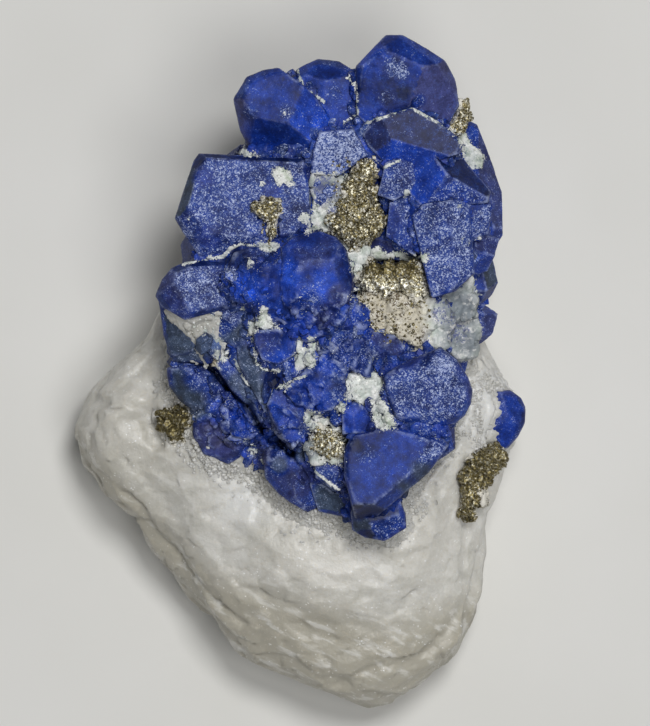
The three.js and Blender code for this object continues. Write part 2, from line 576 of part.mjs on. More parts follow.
function marbleRadius(angle, spokes) {
  const turn = 2 * Math.PI;
  const wanted = ((angle % turn) + turn) % turn;
  for (let i = 0; i < spokes.length; i++) {
    const from = spokes[i];
    const to = spokes[(i + 1) % spokes.length];
    const span = (to.angle - from.angle + turn) % turn;
    const along = (wanted - from.angle + turn) % turn;
    if (along <= span) return from.radius + ((to.radius - from.radius) * along) / span;
  }
  return spokes[0].radius;
}

// A few crossing waves that stand for the uneven broken surface, from about -1 to 1.
function unevenness(x, y, z) {
  return (
    Math.sin(x * 0.42 + y * 0.31 + 1.3) * Math.sin(y * 0.38 - z * 0.5 + 0.4) * 0.6 +
    Math.sin(x * 0.9 - y * 0.7 + z * 0.6 + 2.1) * 0.25 +
    Math.sin(x * 1.5 + y * 1.9 - z * 1.1) * 0.15
  );
}

function marbleBody() {
  const spokes = marbleOutline
    .map(([x, y]) => {
      const spoke = new THREE.Vector2(x, y).sub(marbleCentre);
      return { angle: (spoke.angle() + 2 * Math.PI) % (2 * Math.PI), radius: spoke.length() };
    })
    .sort((a, b) => a.angle - b.angle);
  const ball = new THREE.IcosahedronGeometry(1, marbleDetail);
  const position = ball.attributes.position;
  for (let i = 0; i < position.count; i++) {
    const direction = new THREE.Vector3().fromBufferAttribute(position, i).normalize();
    const flat = Math.max(Math.hypot(direction.x, direction.y), 1e-6);
    const reachOut = marbleRadius(Math.atan2(direction.y, direction.x), spokes) * flat ** 0.62;
    const lift = Math.sign(direction.z) * Math.abs(direction.z) ** 0.8;
    const point = new THREE.Vector3(
      marbleCentre.x + (direction.x / flat) * reachOut,
      marbleCentre.y + (direction.y / flat) * reachOut,
      marbleWaist + lift * (direction.z > 0 ? marbleRise : marbleDrop),
    );
    const bump = unevenness(point.x, point.y, point.z);
    let push = bump;
    for (const [x, y, z, radius, amount] of marbleRelief) {
      const away = Math.hypot(point.x - x, point.y - y, point.z - z) / radius;
      push += amount * Math.exp(-away * away);
    }
    point.addScaledVector(direction, push);
    position.setXYZ(i, point.x, point.y, point.z);
  }
  const plan = new THREE.Shape(socketPlan.map(([x, y]) => new THREE.Vector2(x, y)));
  const socket = new THREE.ExtrudeGeometry(plan, { depth: reach, bevelEnabled: false });
  return solidOf(ball)
    .trimByPlane([0, 0, 1], 0)
    .subtract(solidOf(socket.translate(0, 0, bedFloor - 1.2 * seam)));
}

// Calcite that fills the pits between the crystals and is one with the marble: the corners of each patch,
// the height of its top and, where it is a solid wall down to the marble, the height of its foot.
const calcitePatches = [
  { rim: [[-8.7, 28.6], [-5.7, 27.8], [-6.4, 29.8], [-7.7, 31.2]], top: 30.6 },
  { rim: [[1.1, 22], [4.6, 20.9], [6.4, 23], [5.9, 26.1], [1.4, 26]], top: 34.4 },
  { rim: [[0.7, 18.2], [3.4, 18.4], [4.8, 20.6], [0.9, 21.6]], top: 33.8 },
  { rim: [[6, 9.2], [8, 10.4], [8.8, 16.7], [5.6, 17.2], [7, 11.4]], top: 34 },
  { rim: [[-15.5, 6.9], [-15.1, 5.8], [-11.7, 3.1], [-10.6, 4], [-10.5, 7], [-11, 8.2]], top: 32.4 },
  { rim: [[-7.7, 6], [-6.5, 5.2], [-2.9, 5.5], [-5, 8.9]], top: 36.6 },
  { rim: [[-1, 3.6], [-0.8, 0.3], [0, -1.1], [1.4, -0.7], [2.1, 4], [1.6, 5.1]], top: 36 },
  { rim: [[4.4, -4.8], [5.6, -5.8], [10.7, -2.9], [10.9, -0.6], [6, -0.3]], top: 35.8 },
  { rim: [[8.9, -5.8], [9.4, -7.2], [12.7, -7.7], [12.9, -6], [10.8, -2.7], [9, -2.8]], top: 35.4 },
  { rim: [[0.5, -10], [1.3, -12.1], [5.7, -12.1], [5.7, -9], [4.7, -6.9], [2, -5.3]], top: 34 },
  { rim: [[-12.1, 2.1], [-11.7, 0.5], [-8.8, 2], [-9.2, 3.2]], top: 31.4 },
  { rim: [[-8.7, -9.5], [-8.7, -11.7], [-7, -12.7], [-5.3, -12.4], [-5.3, -10.4]], top: 25.6 },
  { rim: [[6.2, 8.8], [8.4, 5.3], [12.2, 5], [12.6, 10.6], [8.6, 10.6]], top: 33.8 },
  { rim: [[11.4, 5.3], [15.5, 3], [17.8, 6], [17.2, 10.2], [11.6, 10.4]], top: 34.2 },
  { rim: [[15.4, 4], [14.6, 1.9], [19.6, 3.3], [20.2, 6.8], [19, 9.9], [15.6, 10]], top: 33.2, foot: 15 },
  { rim: [[18.6, 9.2], [19.4, 6.5], [22.9, 7.3], [23.2, 10], [22.2, 13.4], [19.2, 13]], top: 29.8, foot: 14 },
  { rim: [[19, 3.1], [21, 1.5], [23, 1.9], [23.6, 4.6], [23.2, 7.8], [19.2, 7.5]], top: 28, foot: 14 },
  { rim: [[20.8, 30.6], [21.4, 28.3], [23, 26.6], [24.9, 29.5], [22.2, 32.5]], top: 31.4 },
  { rim: [[-16, 13.9], [-9, 15.2], [-6.4, 17], [-8.2, 17.4], [-14, 15.4]], top: 33 },
];
const patchThickness = 2.4; // of the part that fills the pit
const patchFoot = 17; // where its narrow root ends, inside the marble
const rootSides = 3;

// A plan outline with every side moved outwards by the same amount.
function spread(corners, amount) {
  return corners.map((corner, i) => {
    const before = corners[(i + corners.length - 1) % corners.length];
    const after = corners[(i + 1) % corners.length];
    const [from, to] = [corner.clone().sub(before), after.clone().sub(corner)].map(
      (side) => new THREE.Vector2(side.y, -side.x).normalize(),
    );
    return corner.clone().addScaledVector(from.clone().add(to), amount / (1 + from.dot(to)));
  });
}

function patchSolid({ rim, top, foot }, grow = 0) {
  const corners = rim.map(([x, y]) => new THREE.Vector2(x, y));
  const middle = corners
    .reduce((sum, corner) => sum.add(corner), new THREE.Vector2())
    .divideScalar(corners.length);
  const rootRadius = 0.5 * Math.min(...corners.map((corner) => corner.distanceTo(middle)));
  const capFoot = foot ?? top - patchThickness;
  const cap = new THREE.ExtrudeGeometry(new THREE.Shape(spread(corners, grow)), {
    depth: top - capFoot + 2 * grow,
    bevelEnabled: false,
  }).translate(0, 0, capFoot - grow);
  if (foot) return solidOf(cap);
  const rootHeight = top - 1 - patchFoot + 2 * grow;
  const radius = rootRadius + 1.3 * grow;
  const root = new THREE.CylinderGeometry(radius, radius, rootHeight, rootSides)
    .rotateX(Math.PI / 2)
    .translate(middle.x, middle.y, (top - 1 + patchFoot) / 2);
  return solidOf(cap).add(solidOf(root));
}

// ---------------------------------------------------------------- putting the specimen together

const finishes = {
  lazurite: new THREE.MeshStandardMaterial({ color: "#1f3391", roughness: 0.45, metalness: 0 }),
  marble: new THREE.MeshStandardMaterial({ color: "#cfccc2", roughness: 0.5, metalness: 0 }),
  pyrite: new THREE.MeshStandardMaterial({ color: "#8d7c4c", roughness: 0.35, metalness: 0.9 }),
};

function cutBy(solid, others) {
  return others.reduce((rest, other) => rest.subtract(other), solid);
}

const groups = Object.entries(lazuriteGroups);
const grownFronts = groups.map(([, { front }]) =>
  joined(front.map((crystal) => crystalSolid(crystal, seam))),
);
const onFace = pyriteSolid(pyriteOnFace, 5);
const grownOnFace = pyriteSolid(pyriteOnFace, 5, seam);
const fronts = groups.map(([, { front }], index) =>
  cutBy(joined(front.map((crystal) => crystalSolid(crystal))), [grownOnFace, ...grownFronts.slice(0, index)]),
);

const masses = Object.entries(pyriteMasses).map(([name, points], index) => {
  const seed = index * 53 + 11;
  return {
    name,
    solid: mainBody(cutBy(pyriteSolid(points, seed), grownFronts)),
    grown: pyriteSolid(points, seed, seam),
  };
});
const grownMasses = masses.map(({ grown }) => grown);

const patches = cutBy(
  joined(calcitePatches.map((patch) => patchSolid(patch))),
  [...grownFronts, ...grownMasses],
);
const grownPatches = joined(calcitePatches.map((patch) => patchSolid(patch, seam)));

const grownBacks = groups.map(([, { back = [] }]) => back.map((crystal) => crystalSolid(crystal, seam)));
const specimen = new THREE.Group();
groups.forEach(([name, { back = [] }], index) => {
  let whole = fronts[index];
  if (back.length) {
    const otherFronts = grownFronts.filter((_, other) => other !== index);
    const earlierBacks = grownBacks.slice(0, index).flat();
    const behind = joined(back.map((crystal) => crystalSolid(crystal)));
    const room = [grownOnFace, grownPatches, ...grownMasses, ...otherFronts, ...earlierBacks];
    whole = whole.add(cutBy(behind, room));
  }
  specimen.add(meshOf(name, mainBody(whole), finishes.lazurite));
});
specimen.add(meshOf("pyrite_on_face", mainBody(onFace), finishes.pyrite));
masses.forEach(({ name, solid }) => specimen.add(meshOf(name, solid, finishes.pyrite)));

const socketed = cutBy(marbleBody(), [...grownFronts, ...grownBacks.flat(), ...grownMasses]);
specimen.add(meshOf("marble_matrix", mainBody(socketed.add(patches)), finishes.marble));

export default specimen;
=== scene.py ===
# Lapis lazuli specimen: blue lazurite crystals with pyrite and calcite on a lump of white marble.
# It lies on its back on a pale floor, +Z up, +Y towards the free end of the crystals.
import math

import bpy
import numpy as np
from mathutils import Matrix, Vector, noise
from mathutils.bvhtree import BVHTree
from mathutils.kdtree import KDTree


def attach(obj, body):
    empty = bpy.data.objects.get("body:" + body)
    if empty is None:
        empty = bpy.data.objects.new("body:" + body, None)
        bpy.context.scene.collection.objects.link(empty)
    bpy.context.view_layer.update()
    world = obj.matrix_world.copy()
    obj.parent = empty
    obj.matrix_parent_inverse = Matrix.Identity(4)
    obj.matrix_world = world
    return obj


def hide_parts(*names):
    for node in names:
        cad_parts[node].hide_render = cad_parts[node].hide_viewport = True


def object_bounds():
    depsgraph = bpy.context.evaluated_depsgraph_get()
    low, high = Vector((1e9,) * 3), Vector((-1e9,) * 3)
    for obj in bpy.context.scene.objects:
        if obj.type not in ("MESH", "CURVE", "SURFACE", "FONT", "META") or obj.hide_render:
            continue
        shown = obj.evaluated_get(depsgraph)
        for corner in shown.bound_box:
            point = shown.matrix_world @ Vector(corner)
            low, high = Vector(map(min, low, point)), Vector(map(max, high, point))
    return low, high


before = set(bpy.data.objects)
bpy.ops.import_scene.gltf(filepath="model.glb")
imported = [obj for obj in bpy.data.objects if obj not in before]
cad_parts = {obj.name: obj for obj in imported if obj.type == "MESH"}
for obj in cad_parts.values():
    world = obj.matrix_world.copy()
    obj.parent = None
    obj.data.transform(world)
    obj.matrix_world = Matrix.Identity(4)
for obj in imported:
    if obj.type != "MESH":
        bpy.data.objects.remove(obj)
cadBox = [list(corner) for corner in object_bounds()]
mm = 0.001
up, down = Vector((0, 0, 1)), Vector((0, 0, -1))

# How meshes are cleaned, remade and measured
meshing = {
    "merge": 0.002 * mm,
    "flatAngle": math.radians(0.6),
    "octreeScale": 0.9,
    "smallestPart": 0.05,
    "groupSteps": 8,
    "spotFade": 1.6,
    "steepest": 0.4,
    "overhead": 80 * mm,
}


def selectOnly(piece):
    if bpy.context.object and bpy.context.object.mode != "OBJECT":
        bpy.ops.object.mode_set(mode="OBJECT")
    bpy.ops.object.select_all(action="DESELECT")
    piece.select_set(True)
    bpy.context.view_layer.objects.active = piece


def editAll(piece):  # into edit mode, with everything selected
    selectOnly(piece)
    bpy.ops.object.mode_set(mode="EDIT")
    bpy.ops.mesh.select_all(action="SELECT")


def copyOfNode(nodeName, pieceName):  # one closed mesh of whole flat faces
    piece = duplicateOf(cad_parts[nodeName], pieceName)
    piece.data.materials.clear()
    editAll(piece)
    bpy.ops.mesh.remove_doubles(threshold=meshing["merge"])
    bpy.ops.mesh.dissolve_limited(angle_limit=meshing["flatAngle"])
    bpy.ops.object.mode_set(mode="OBJECT")
    return piece


def duplicateOf(piece, pieceName):
    twin = bpy.data.objects.new(pieceName, piece.data.copy())
    bpy.context.collection.objects.link(twin)
    return twin


def applyModifier(piece, kind, **settings):
    selectOnly(piece)
    modifier = piece.modifiers.new(kind.title(), kind)
    for setting, value in settings.items():
        setattr(modifier, setting, value)
    bpy.ops.object.modifier_apply(modifier=modifier.name)


def remeshSharp(piece, cell):  # even quads of that size that keep the crystal edges
    length = max(piece.dimensions)
    depth = math.ceil(math.log2(length / (meshing["octreeScale"] * cell)))
    applyModifier(piece, "REMESH", mode="SHARP", octree_depth=depth, sharpness=1.0,
                  scale=length / (cell * 2 ** depth), use_remove_disconnected=True,
                  threshold=meshing["smallestPart"])


def remeshRound(piece, cell):  # even quads, edges worn round
    applyModifier(piece, "REMESH", mode="VOXEL", voxel_size=cell, adaptivity=0)


def smoothed(piece, times, factor=0.5, group=""):
    applyModifier(piece, "SMOOTH", factor=factor, iterations=times, vertex_group=group)


def displace(piece, kind, size, height, group="", middle=0.5, **settings):  # relief from a solid texture
    texture = bpy.data.textures.new(piece.name + "_" + kind.lower(), kind)
    texture.noise_scale = size
    for setting, value in settings.items():
        setattr(texture, setting, value)
    applyModifier(piece, "DISPLACE", texture=texture, strength=height, mid_level=middle,
                  vertex_group=group, texture_coords="LOCAL", direction="NORMAL")


def vectorsOf(items, field):
    flat = np.empty(len(items) * 3, np.float32)
    items.foreach_get(field, flat)
    return flat.reshape(-1, 3)


def points(piece):
    return vectorsOf(piece.data.vertices, "co")


def pointNormals(piece):
    return vectorsOf(piece.data.vertex_normals, "vector")


def setPoints(piece, places):
    piece.data.vertices.foreach_set("co", np.ascontiguousarray(places, np.float32).ravel())
    piece.data.update()


def push(piece, distances):  # moves every point along its normal
    setPoints(piece, points(piece) + pointNormals(piece) * distances[:, None])


def keepInBox(piece):  # nothing stands further out than the solids do
    low, high = (np.array(corner, np.float32) for corner in cadBox)
    setPoints(piece, np.clip(points(piece), low, high))


def setMask(piece, name, values, domain="POINT"):
    mask = piece.data.attributes.get(name) or piece.data.attributes.new(name, "FLOAT", domain)
    mask.data.foreach_set("value", np.ascontiguousarray(values, np.float32))


def setGroup(piece, name, values):  # a vertex group for a modifier, in a few levels of weight
    group = piece.vertex_groups.new(name=name)
    steps = meshing["groupSteps"]
    levels = np.round(np.clip(values, 0, 1) * steps).astype(int)
    for level in range(1, steps + 1):
        members = np.nonzero(levels == level)[0].tolist()
        if members:
            group.add(members, level / steps, "REPLACE")


def edgesOf(piece):
    flat = np.empty(len(piece.data.edges) * 2, np.int32)
    piece.data.edges.foreach_get("vertices", flat)
    return flat.reshape(-1, 2)


def spread(values, edges, times):  # averages a mask over the neighbouring points
    count = np.bincount(edges.ravel(), minlength=len(values)) + 1
    for _ in range(times):
        total = values.copy()
        np.add.at(total, edges[:, 0], values[edges[:, 1]])
        np.add.at(total, edges[:, 1], values[edges[:, 0]])
        values = total / count
    return values


def bend(piece):  # above 0 on ridges, below 0 in creases
    places, normals, edges = points(piece), pointNormals(piece), edgesOf(piece)
    away = places[edges[:, 0]] - places[edges[:, 1]]
    away /= np.maximum(np.linalg.norm(away, axis=1, keepdims=True), 1e-9)
    total = np.zeros(len(places), np.float32)
    np.add.at(total, edges[:, 0], (normals[edges[:, 0]] * away).sum(1))
    np.add.at(total, edges[:, 1], -(normals[edges[:, 1]] * away).sum(1))
    total /= np.maximum(np.bincount(edges.ravel(), minlength=len(places)), 1)
    return spread(total, edges, 1)


def solids(start="", without=()):  # the CAD solids whose names start like that
    return [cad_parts[name] for name in sorted(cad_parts)
            if name.startswith(start) and name not in without]


def treeOf(pieces):  # all of these as one, to measure distances to
    corners, faces = [], []
    for piece in pieces:
        start = len(corners)
        corners += [vertex.co.copy() for vertex in piece.data.vertices]
        faces += [[start + corner for corner in face.vertices] for face in piece.data.polygons]
    return BVHTree.FromPolygons(corners, faces)


def nearness(piece, tree, reach):  # 1 where the piece touches the tree's solids, 0 beyond reach
    near = np.zeros(len(piece.data.vertices), np.float32)
    for index, vertex in enumerate(piece.data.vertices):
        distance = tree.find_nearest(vertex.co, reach)[3]
        if distance is not None:
            near[index] = 1 - distance / reach
    return near


def zone(piece, spots):  # 1 inside the spots (x, y, radius in mm), fading to 0 around their rims
    places = points(piece)[:, :2] / mm
    share = np.zeros(len(places))
    for x, y, radius in spots:
        away = np.hypot(places[:, 0] - x, places[:, 1] - y) / radius
        share = np.maximum(share, np.clip(meshing["spotFade"] - away, 0, 1))
    return share


def joinedPieces(pieces, name):
    selectOnly(pieces[0])
    for piece in pieces[1:]:
        piece.select_set(True)
    bpy.ops.object.join()
    bpy.context.object.name = name
    return bpy.context.object


def topOf(trees, x, y):  # the highest point of those trees at x, y in mm
    start = Vector((x * mm, y * mm, meshing["overhead"]))
    hits = [tree.ray_cast(start, down)[0] for tree in trees]
    return max((place for place in hits if place is not None), key=lambda place: place.z, default=None)


def scatter(seed, name, spots, dice):  # copies of a small grain at (place, radius), turned at random
    grains = []
    for place, radius in spots:
        grain = duplicateOf(seed, name)
        grain.location = place
        grain.rotation_euler = dice.uniform(0, math.tau, 3)
        grain.scale = radius * dice.uniform(0.75, 1.3, 3)
        grains.append(grain)
    bpy.data.objects.remove(seed)
    joined = joinedPieces(grains, name)
    bpy.ops.object.transform_apply(location=True, rotation=True, scale=True)
    return joined


def perGrain(piece, count, dice, low, high):  # one random value for each grain of a scattered piece
    return np.repeat(dice.uniform(low, high, count), len(piece.data.vertices) // count)


def distanceToLine(places, line):  # in mm, seen from above
    best = np.full(len(places), 1e3)
    for (x0, y0), (x1, y1) in zip(line, line[1:]):
        along = np.array([x1 - x0, y1 - y0])
        offset = places - (x0, y0)
        share = np.clip((offset @ along) / (along @ along), 0, 1)
        best = np.minimum(best, np.linalg.norm(offset - share[:, None] * along, axis=1))
    return best


def inside(places, outline):  # how far inside an outline the points are, in mm, and below 0 outside it
    away = distanceToLine(places, outline + outline[:1])
    crossed = np.zeros(len(places), bool)
    for (x0, y0), (x1, y1) in zip(outline, outline[1:] + outline[:1]):
        if y0 == y1:
            continue
        between = (places[:, 1] > min(y0, y1)) & (places[:, 1] <= max(y0, y1))
        crossed ^= between & (places[:, 0] < x0 + (places[:, 1] - y0) * (x1 - x0) / (y1 - y0))
    return np.where(crossed, away, -away)


# Breaks the skin into flat facets that far apart, and tells which facet every point is on
def facetted(piece, dice, spacing, tilt, reach, weight=1.0, stretch=(1, 1, 1)):
    places, normals = points(piece), pointNormals(piece)
    area = sum(face.area for face in piece.data.polygons)
    seeds = dice.permutation(len(places))[:int(area / spacing ** 2)]
    tree = KDTree(len(seeds))
    for number, place in enumerate(places[seeds] * stretch):
        tree.insert(place, number)
    tree.balance()
    owner = np.array([tree.find(place)[1] for place in places * stretch])
    facing = normals[seeds] + dice.normal(0, tilt, (len(seeds), 3))
    facing /= np.linalg.norm(facing, axis=1, keepdims=True)
    toward = ((places[seeds][owner] - places) * facing[owner]).sum(1)
    along = np.maximum((normals * facing[owner]).sum(1), meshing["steepest"])
    push(piece, np.clip(toward / along, -reach, reach) * weight)
    return owner


def finishPiece(piece, material, nodeName=None, flat=False):
    keepInBox(piece)
    selectOnly(piece)
    if flat:
        bpy.ops.object.shade_flat()
    else:
        bpy.ops.object.shade_smooth()
    piece.data.materials.clear()
    piece.data.materials.append(material)
    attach(piece, "root")
    if nodeName:
        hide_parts(nodeName)
    print(piece.name, len(piece.data.polygons), "faces")


def feed(tree, slot, value):  # a link from another node, or a plain value
    if isinstance(value, Value):
        tree.links.new(value.socket, slot)
    else:
        slot.default_value = value


class Value:  # a socket that can be reckoned with
    def __init__(self, tree, socket):
        self.tree = tree
        self.socket = socket

    def math(self, operation, *others, clamp=False):
        node = self.tree.nodes.new("ShaderNodeMath")
        node.operation = operation
        node.use_clamp = clamp
        for slot, value in zip(node.inputs, others):
            feed(self.tree, slot, value)
        return Value(self.tree, node.outputs[0])

    def __add__(self, other):
        return self.math("ADD", self, other)

    def __radd__(self, other):
        return self.math("ADD", other, self)

    def __sub__(self, other):
        return self.math("SUBTRACT", self, other)

    def __rsub__(self, other):
        return self.math("SUBTRACT", other, self)

    def __mul__(self, other):
        return self.math("MULTIPLY", self, other)

    def __rmul__(self, other):
        return self.math("MULTIPLY", other, self)

    def clamped(self):
        return self.math("ADD", self, 0.0, clamp=True)

    def ramp(self, low, high):  # 0 below low, 1 above high
        return self.math("MULTIPLY", (self - low), 1 / (high - low), clamp=True)


class Finish:
    def __init__(self, name):
        self.material = bpy.data.materials.new(name)
        self.material.use_nodes = True
        self.tree = self.material.node_tree
        self.tree.nodes.clear()
        self.shader = self.tree.nodes.new("ShaderNodeBsdfPrincipled")
        output = self.tree.nodes.new("ShaderNodeOutputMaterial")
        self.tree.links.new(self.shader.outputs[0], output.inputs[0])
        self.place = self.node("ShaderNodeTexCoord", output="Object")

    def node(self, kind, settings=None, inputs=None, output=0):
        node = self.tree.nodes.new(kind)
        for setting, value in (settings or {}).items():
            setattr(node, setting, value)
        for slot, value in (inputs or {}).items():
            feed(self.tree, node.inputs[slot], value)
        return Value(self.tree, node.outputs[output])

    def mask(self, name):
        return self.node("ShaderNodeAttribute", {"attribute_name": name}, output="Fac")

    def noise(self, size, detail=2.0, roughness=0.5, turn=(0, 0, 0), stretch=None):
        place = self.place
        if stretch:
            place = self.node("ShaderNodeMapping", None, {"Vector": place, "Rotation": turn})
            place = self.node("ShaderNodeMapping", None, {"Vector": place, "Scale": stretch})
        return self.node("ShaderNodeTexNoise", None, {
            "Vector": place, "Scale": 1 / size, "Detail": detail, "Roughness": roughness})

    def chance(self, size, warp=0):  # a random number for each grain, with ragged grains where warped
        place = self.place
        if warp:
            shift = self.node("ShaderNodeTexNoise", None,
                              {"Vector": place, "Scale": 1 / size, "Detail": 3}, output="Color")
            place = self.node("ShaderNodeVectorMath", {"operation": "MULTIPLY_ADD"},
                              {0: shift, 1: (warp, warp, warp), 2: place})
        grains = self.node("ShaderNodeTexVoronoi", None,
                           {"Vector": place, "Scale": 1 / size}, output="Color")
        return self.node("ShaderNodeSeparateColor", None, {"Color": grains})

    def mix(self, factor, first, second):
        return self.node("ShaderNodeMix", {"data_type": "RGBA"},
                         {0: factor, 6: first, 7: second}, output=2)

    def scaled(self, colour, factor):  # a colour made lighter or darker
        tint = self.node("ShaderNodeCombineColor", None, {0: factor, 1: factor, 2: factor})
        return self.node("ShaderNodeMix", {"data_type": "RGBA", "blend_type": "MULTIPLY"},
                         {0: 1.0, 6: colour, 7: tint}, output=2)

    def bump(self, height, depth, strength=1.0):
        return self.node("ShaderNodeBump", None,
                         {"Height": height, "Distance": depth, "Strength": strength})

    def surface(self, **slots):
        for slot, value in slots.items():
            feed(self.tree, self.shader.inputs[slot.replace("_", " ")], value)
        return self.material


def colour(red, green, blue):  # from 0 to 255 as seen on a screen
    linear = [((channel / 255 + 0.055) / 1.055) ** 2.4 if channel > 10 else channel / 3294.6
              for channel in (red, green, blue)]
    return (*linear, 1.0)


lazurite = {
    "cell": 0.22 * mm,
    "clusterCell": 0.29 * mm,
    "wear": 0.35,
    "swell": 0.07 * mm,
    "crust": 0.22 * mm,
    "contact": 0.8 * mm,
    "fringe": 1.3 * mm,
    "variety": {"frost": 0.5, "light": 0.6, "tone": 0.35},
    "deepBlue": colour(10, 33, 100),
    "royalBlue": colour(13, 53, 152),
    "violet": colour(62, 64, 106),
    "slate": colour(62, 74, 88),
    "haze": colour(70, 110, 194),
    "frost": colour(194, 206, 240),
    "calcite": colour(238, 240, 236),
    "green": colour(192, 202, 184),
    "clear": colour(138, 152, 156),
}


def lazuriteFinish():
    finish = Finish("lazurite")
    frost, light, tone = (finish.mask(name) for name in lookMasks)
    crust, rim, facet = (finish.mask(name) for name in ("crust", "rim", "facet"))
    cloud = finish.noise(5 * mm, detail=3, roughness=0.55)
    wisps = finish.noise(1.3 * mm, detail=4, roughness=0.62)
    grain = finish.noise(0.26 * mm, detail=3, roughness=0.75)
    fine = finish.noise(0.12 * mm, detail=2, roughness=0.7)
    spark = finish.chance(0.13 * mm)
    pale = finish.chance(0.2 * mm)
    mosaic = finish.chance(0.9 * mm, warp=0.5 * mm)
    blue = finish.mix(cloud.ramp(0.35, 0.7), lazurite["deepBlue"], lazurite["royalBlue"])
    blue = finish.mix(tone.clamped(), blue, lazurite["violet"])
    veil = finish.noise(3.2 * mm, detail=5, roughness=0.68)
    mottle = wisps.ramp(0.3, 0.7) * 0.7 + veil.ramp(0.35, 0.65) * 0.5 + 0.4
    shade = light * (1 + facet) * mottle * (1.3 * grain + 1.4 * fine + 0.2 * mosaic - 0.45)
    blue = finish.scaled(blue, shade)
    vein = 1 - veil.math("ABSOLUTE", veil - 0.5).ramp(0, 0.016)
    haze = veil.ramp(0.5, 0.75) * (0.06 + 0.1 * frost) + vein * wisps.ramp(0.4, 0.6) * 0.34
    blue = finish.mix(haze.clamped(), blue, lazurite["haze"])
    # Painted highlights: the pale specks stand in for the glints of tiny facets and are denser on frosted
    # faces; the light blue where they gather is painted sheen
    density = frost * 0.42 + (wisps - 0.5) * 0.5 + (cloud - 0.5) * 0.3 + (veil - 0.5) * 0.3
    glitter = grain * 0.4 + fine * 0.75 + spark * 0.4 + density - 0.12
    blue = finish.mix(glitter.ramp(0.9, 1.35) * 0.4, blue, lazurite["haze"])
    slate = finish.scaled(lazurite["slate"], shade * (0.6 + 0.5 * glitter))
    blue = finish.mix((0 - tone).clamped(), blue, slate)
    speck = (glitter + (pale - 0.5) * 0.3).ramp(1.1, 1.3)
    blue = finish.mix(speck * (0.35 + 0.6 * pale), blue, lazurite["frost"])
    # Painted highlight: the ridges are painted pale, as edges that catch the light
    worn = rim.ramp(0.1, 0.4) * wisps.ramp(0.42, 0.6) * 0.42
    blue = finish.mix(worn, blue, lazurite["frost"])
    scab = (crust + (grain - 0.5) * 1.5 + (wisps - 0.5) * 1.6).ramp(0.6, 0.68)
    chalk = finish.mix(wisps.ramp(0.38, 0.54), lazurite["green"], lazurite["calcite"])
    chalk = finish.mix(veil.ramp(0.48, 0.6) * 0.6, chalk, lazurite["clear"])
    chalk = finish.scaled(chalk, 0.55 + 0.2 * pale + 0.6 * grain)
    face = finish.mix(scab, blue, chalk)
    height = grain * 0.6 + fine * 0.3 + speck * 0.4 + scab * 0.9
    return finish.surface(
        Base_Color=face,
        Roughness=(0.44 + 0.15 * frost + 0.25 * scab).clamped(),
        Normal=finish.bump(height, depth=0.05 * mm, strength=0.8),
        Specular_IOR_Level=0.3,
        IOR=1.45)


# How a crystal face looks: how frosted it is, which also sets how densely glints are painted on it, how
# light, which holds painted light and shade as well as its own lightness, and its tone from slate (-1) to
# violet (1)
lookMasks = ("frost", "light", "tone")
looks = {
    "smooth": (0.3, 1.15, 0.0),
    "royal": (0.45, 1.6, 0.0),
    "bright": (0.5, 2.7, -0.1),
    "deep": (0.2, 0.8, 0.0),
    "frosted": (0.95, 0.95, 0.15),
    "dusty": (1.0, 0.85, 0.3),
    "sugared": (1.35, 1.0, 0.3),
    "hazy": (0.75, 1.0, 0.0),
    "violet": (0.2, 1.15, 0.85),
    "dusk": (0.45, 0.85, 0.6),
    "slate": (0.6, 1.2, -0.85),
    "shadedWall": (0.4, 0.9, -0.85),
    "navyShade": (0.05, 0.38, -0.05),
    "ultra": (0.3, 1.7, 0.1),
    "violetBlue": (0.55, 1.2, 0.35),
    "plum": (0.35, 0.55, 0.5),
}

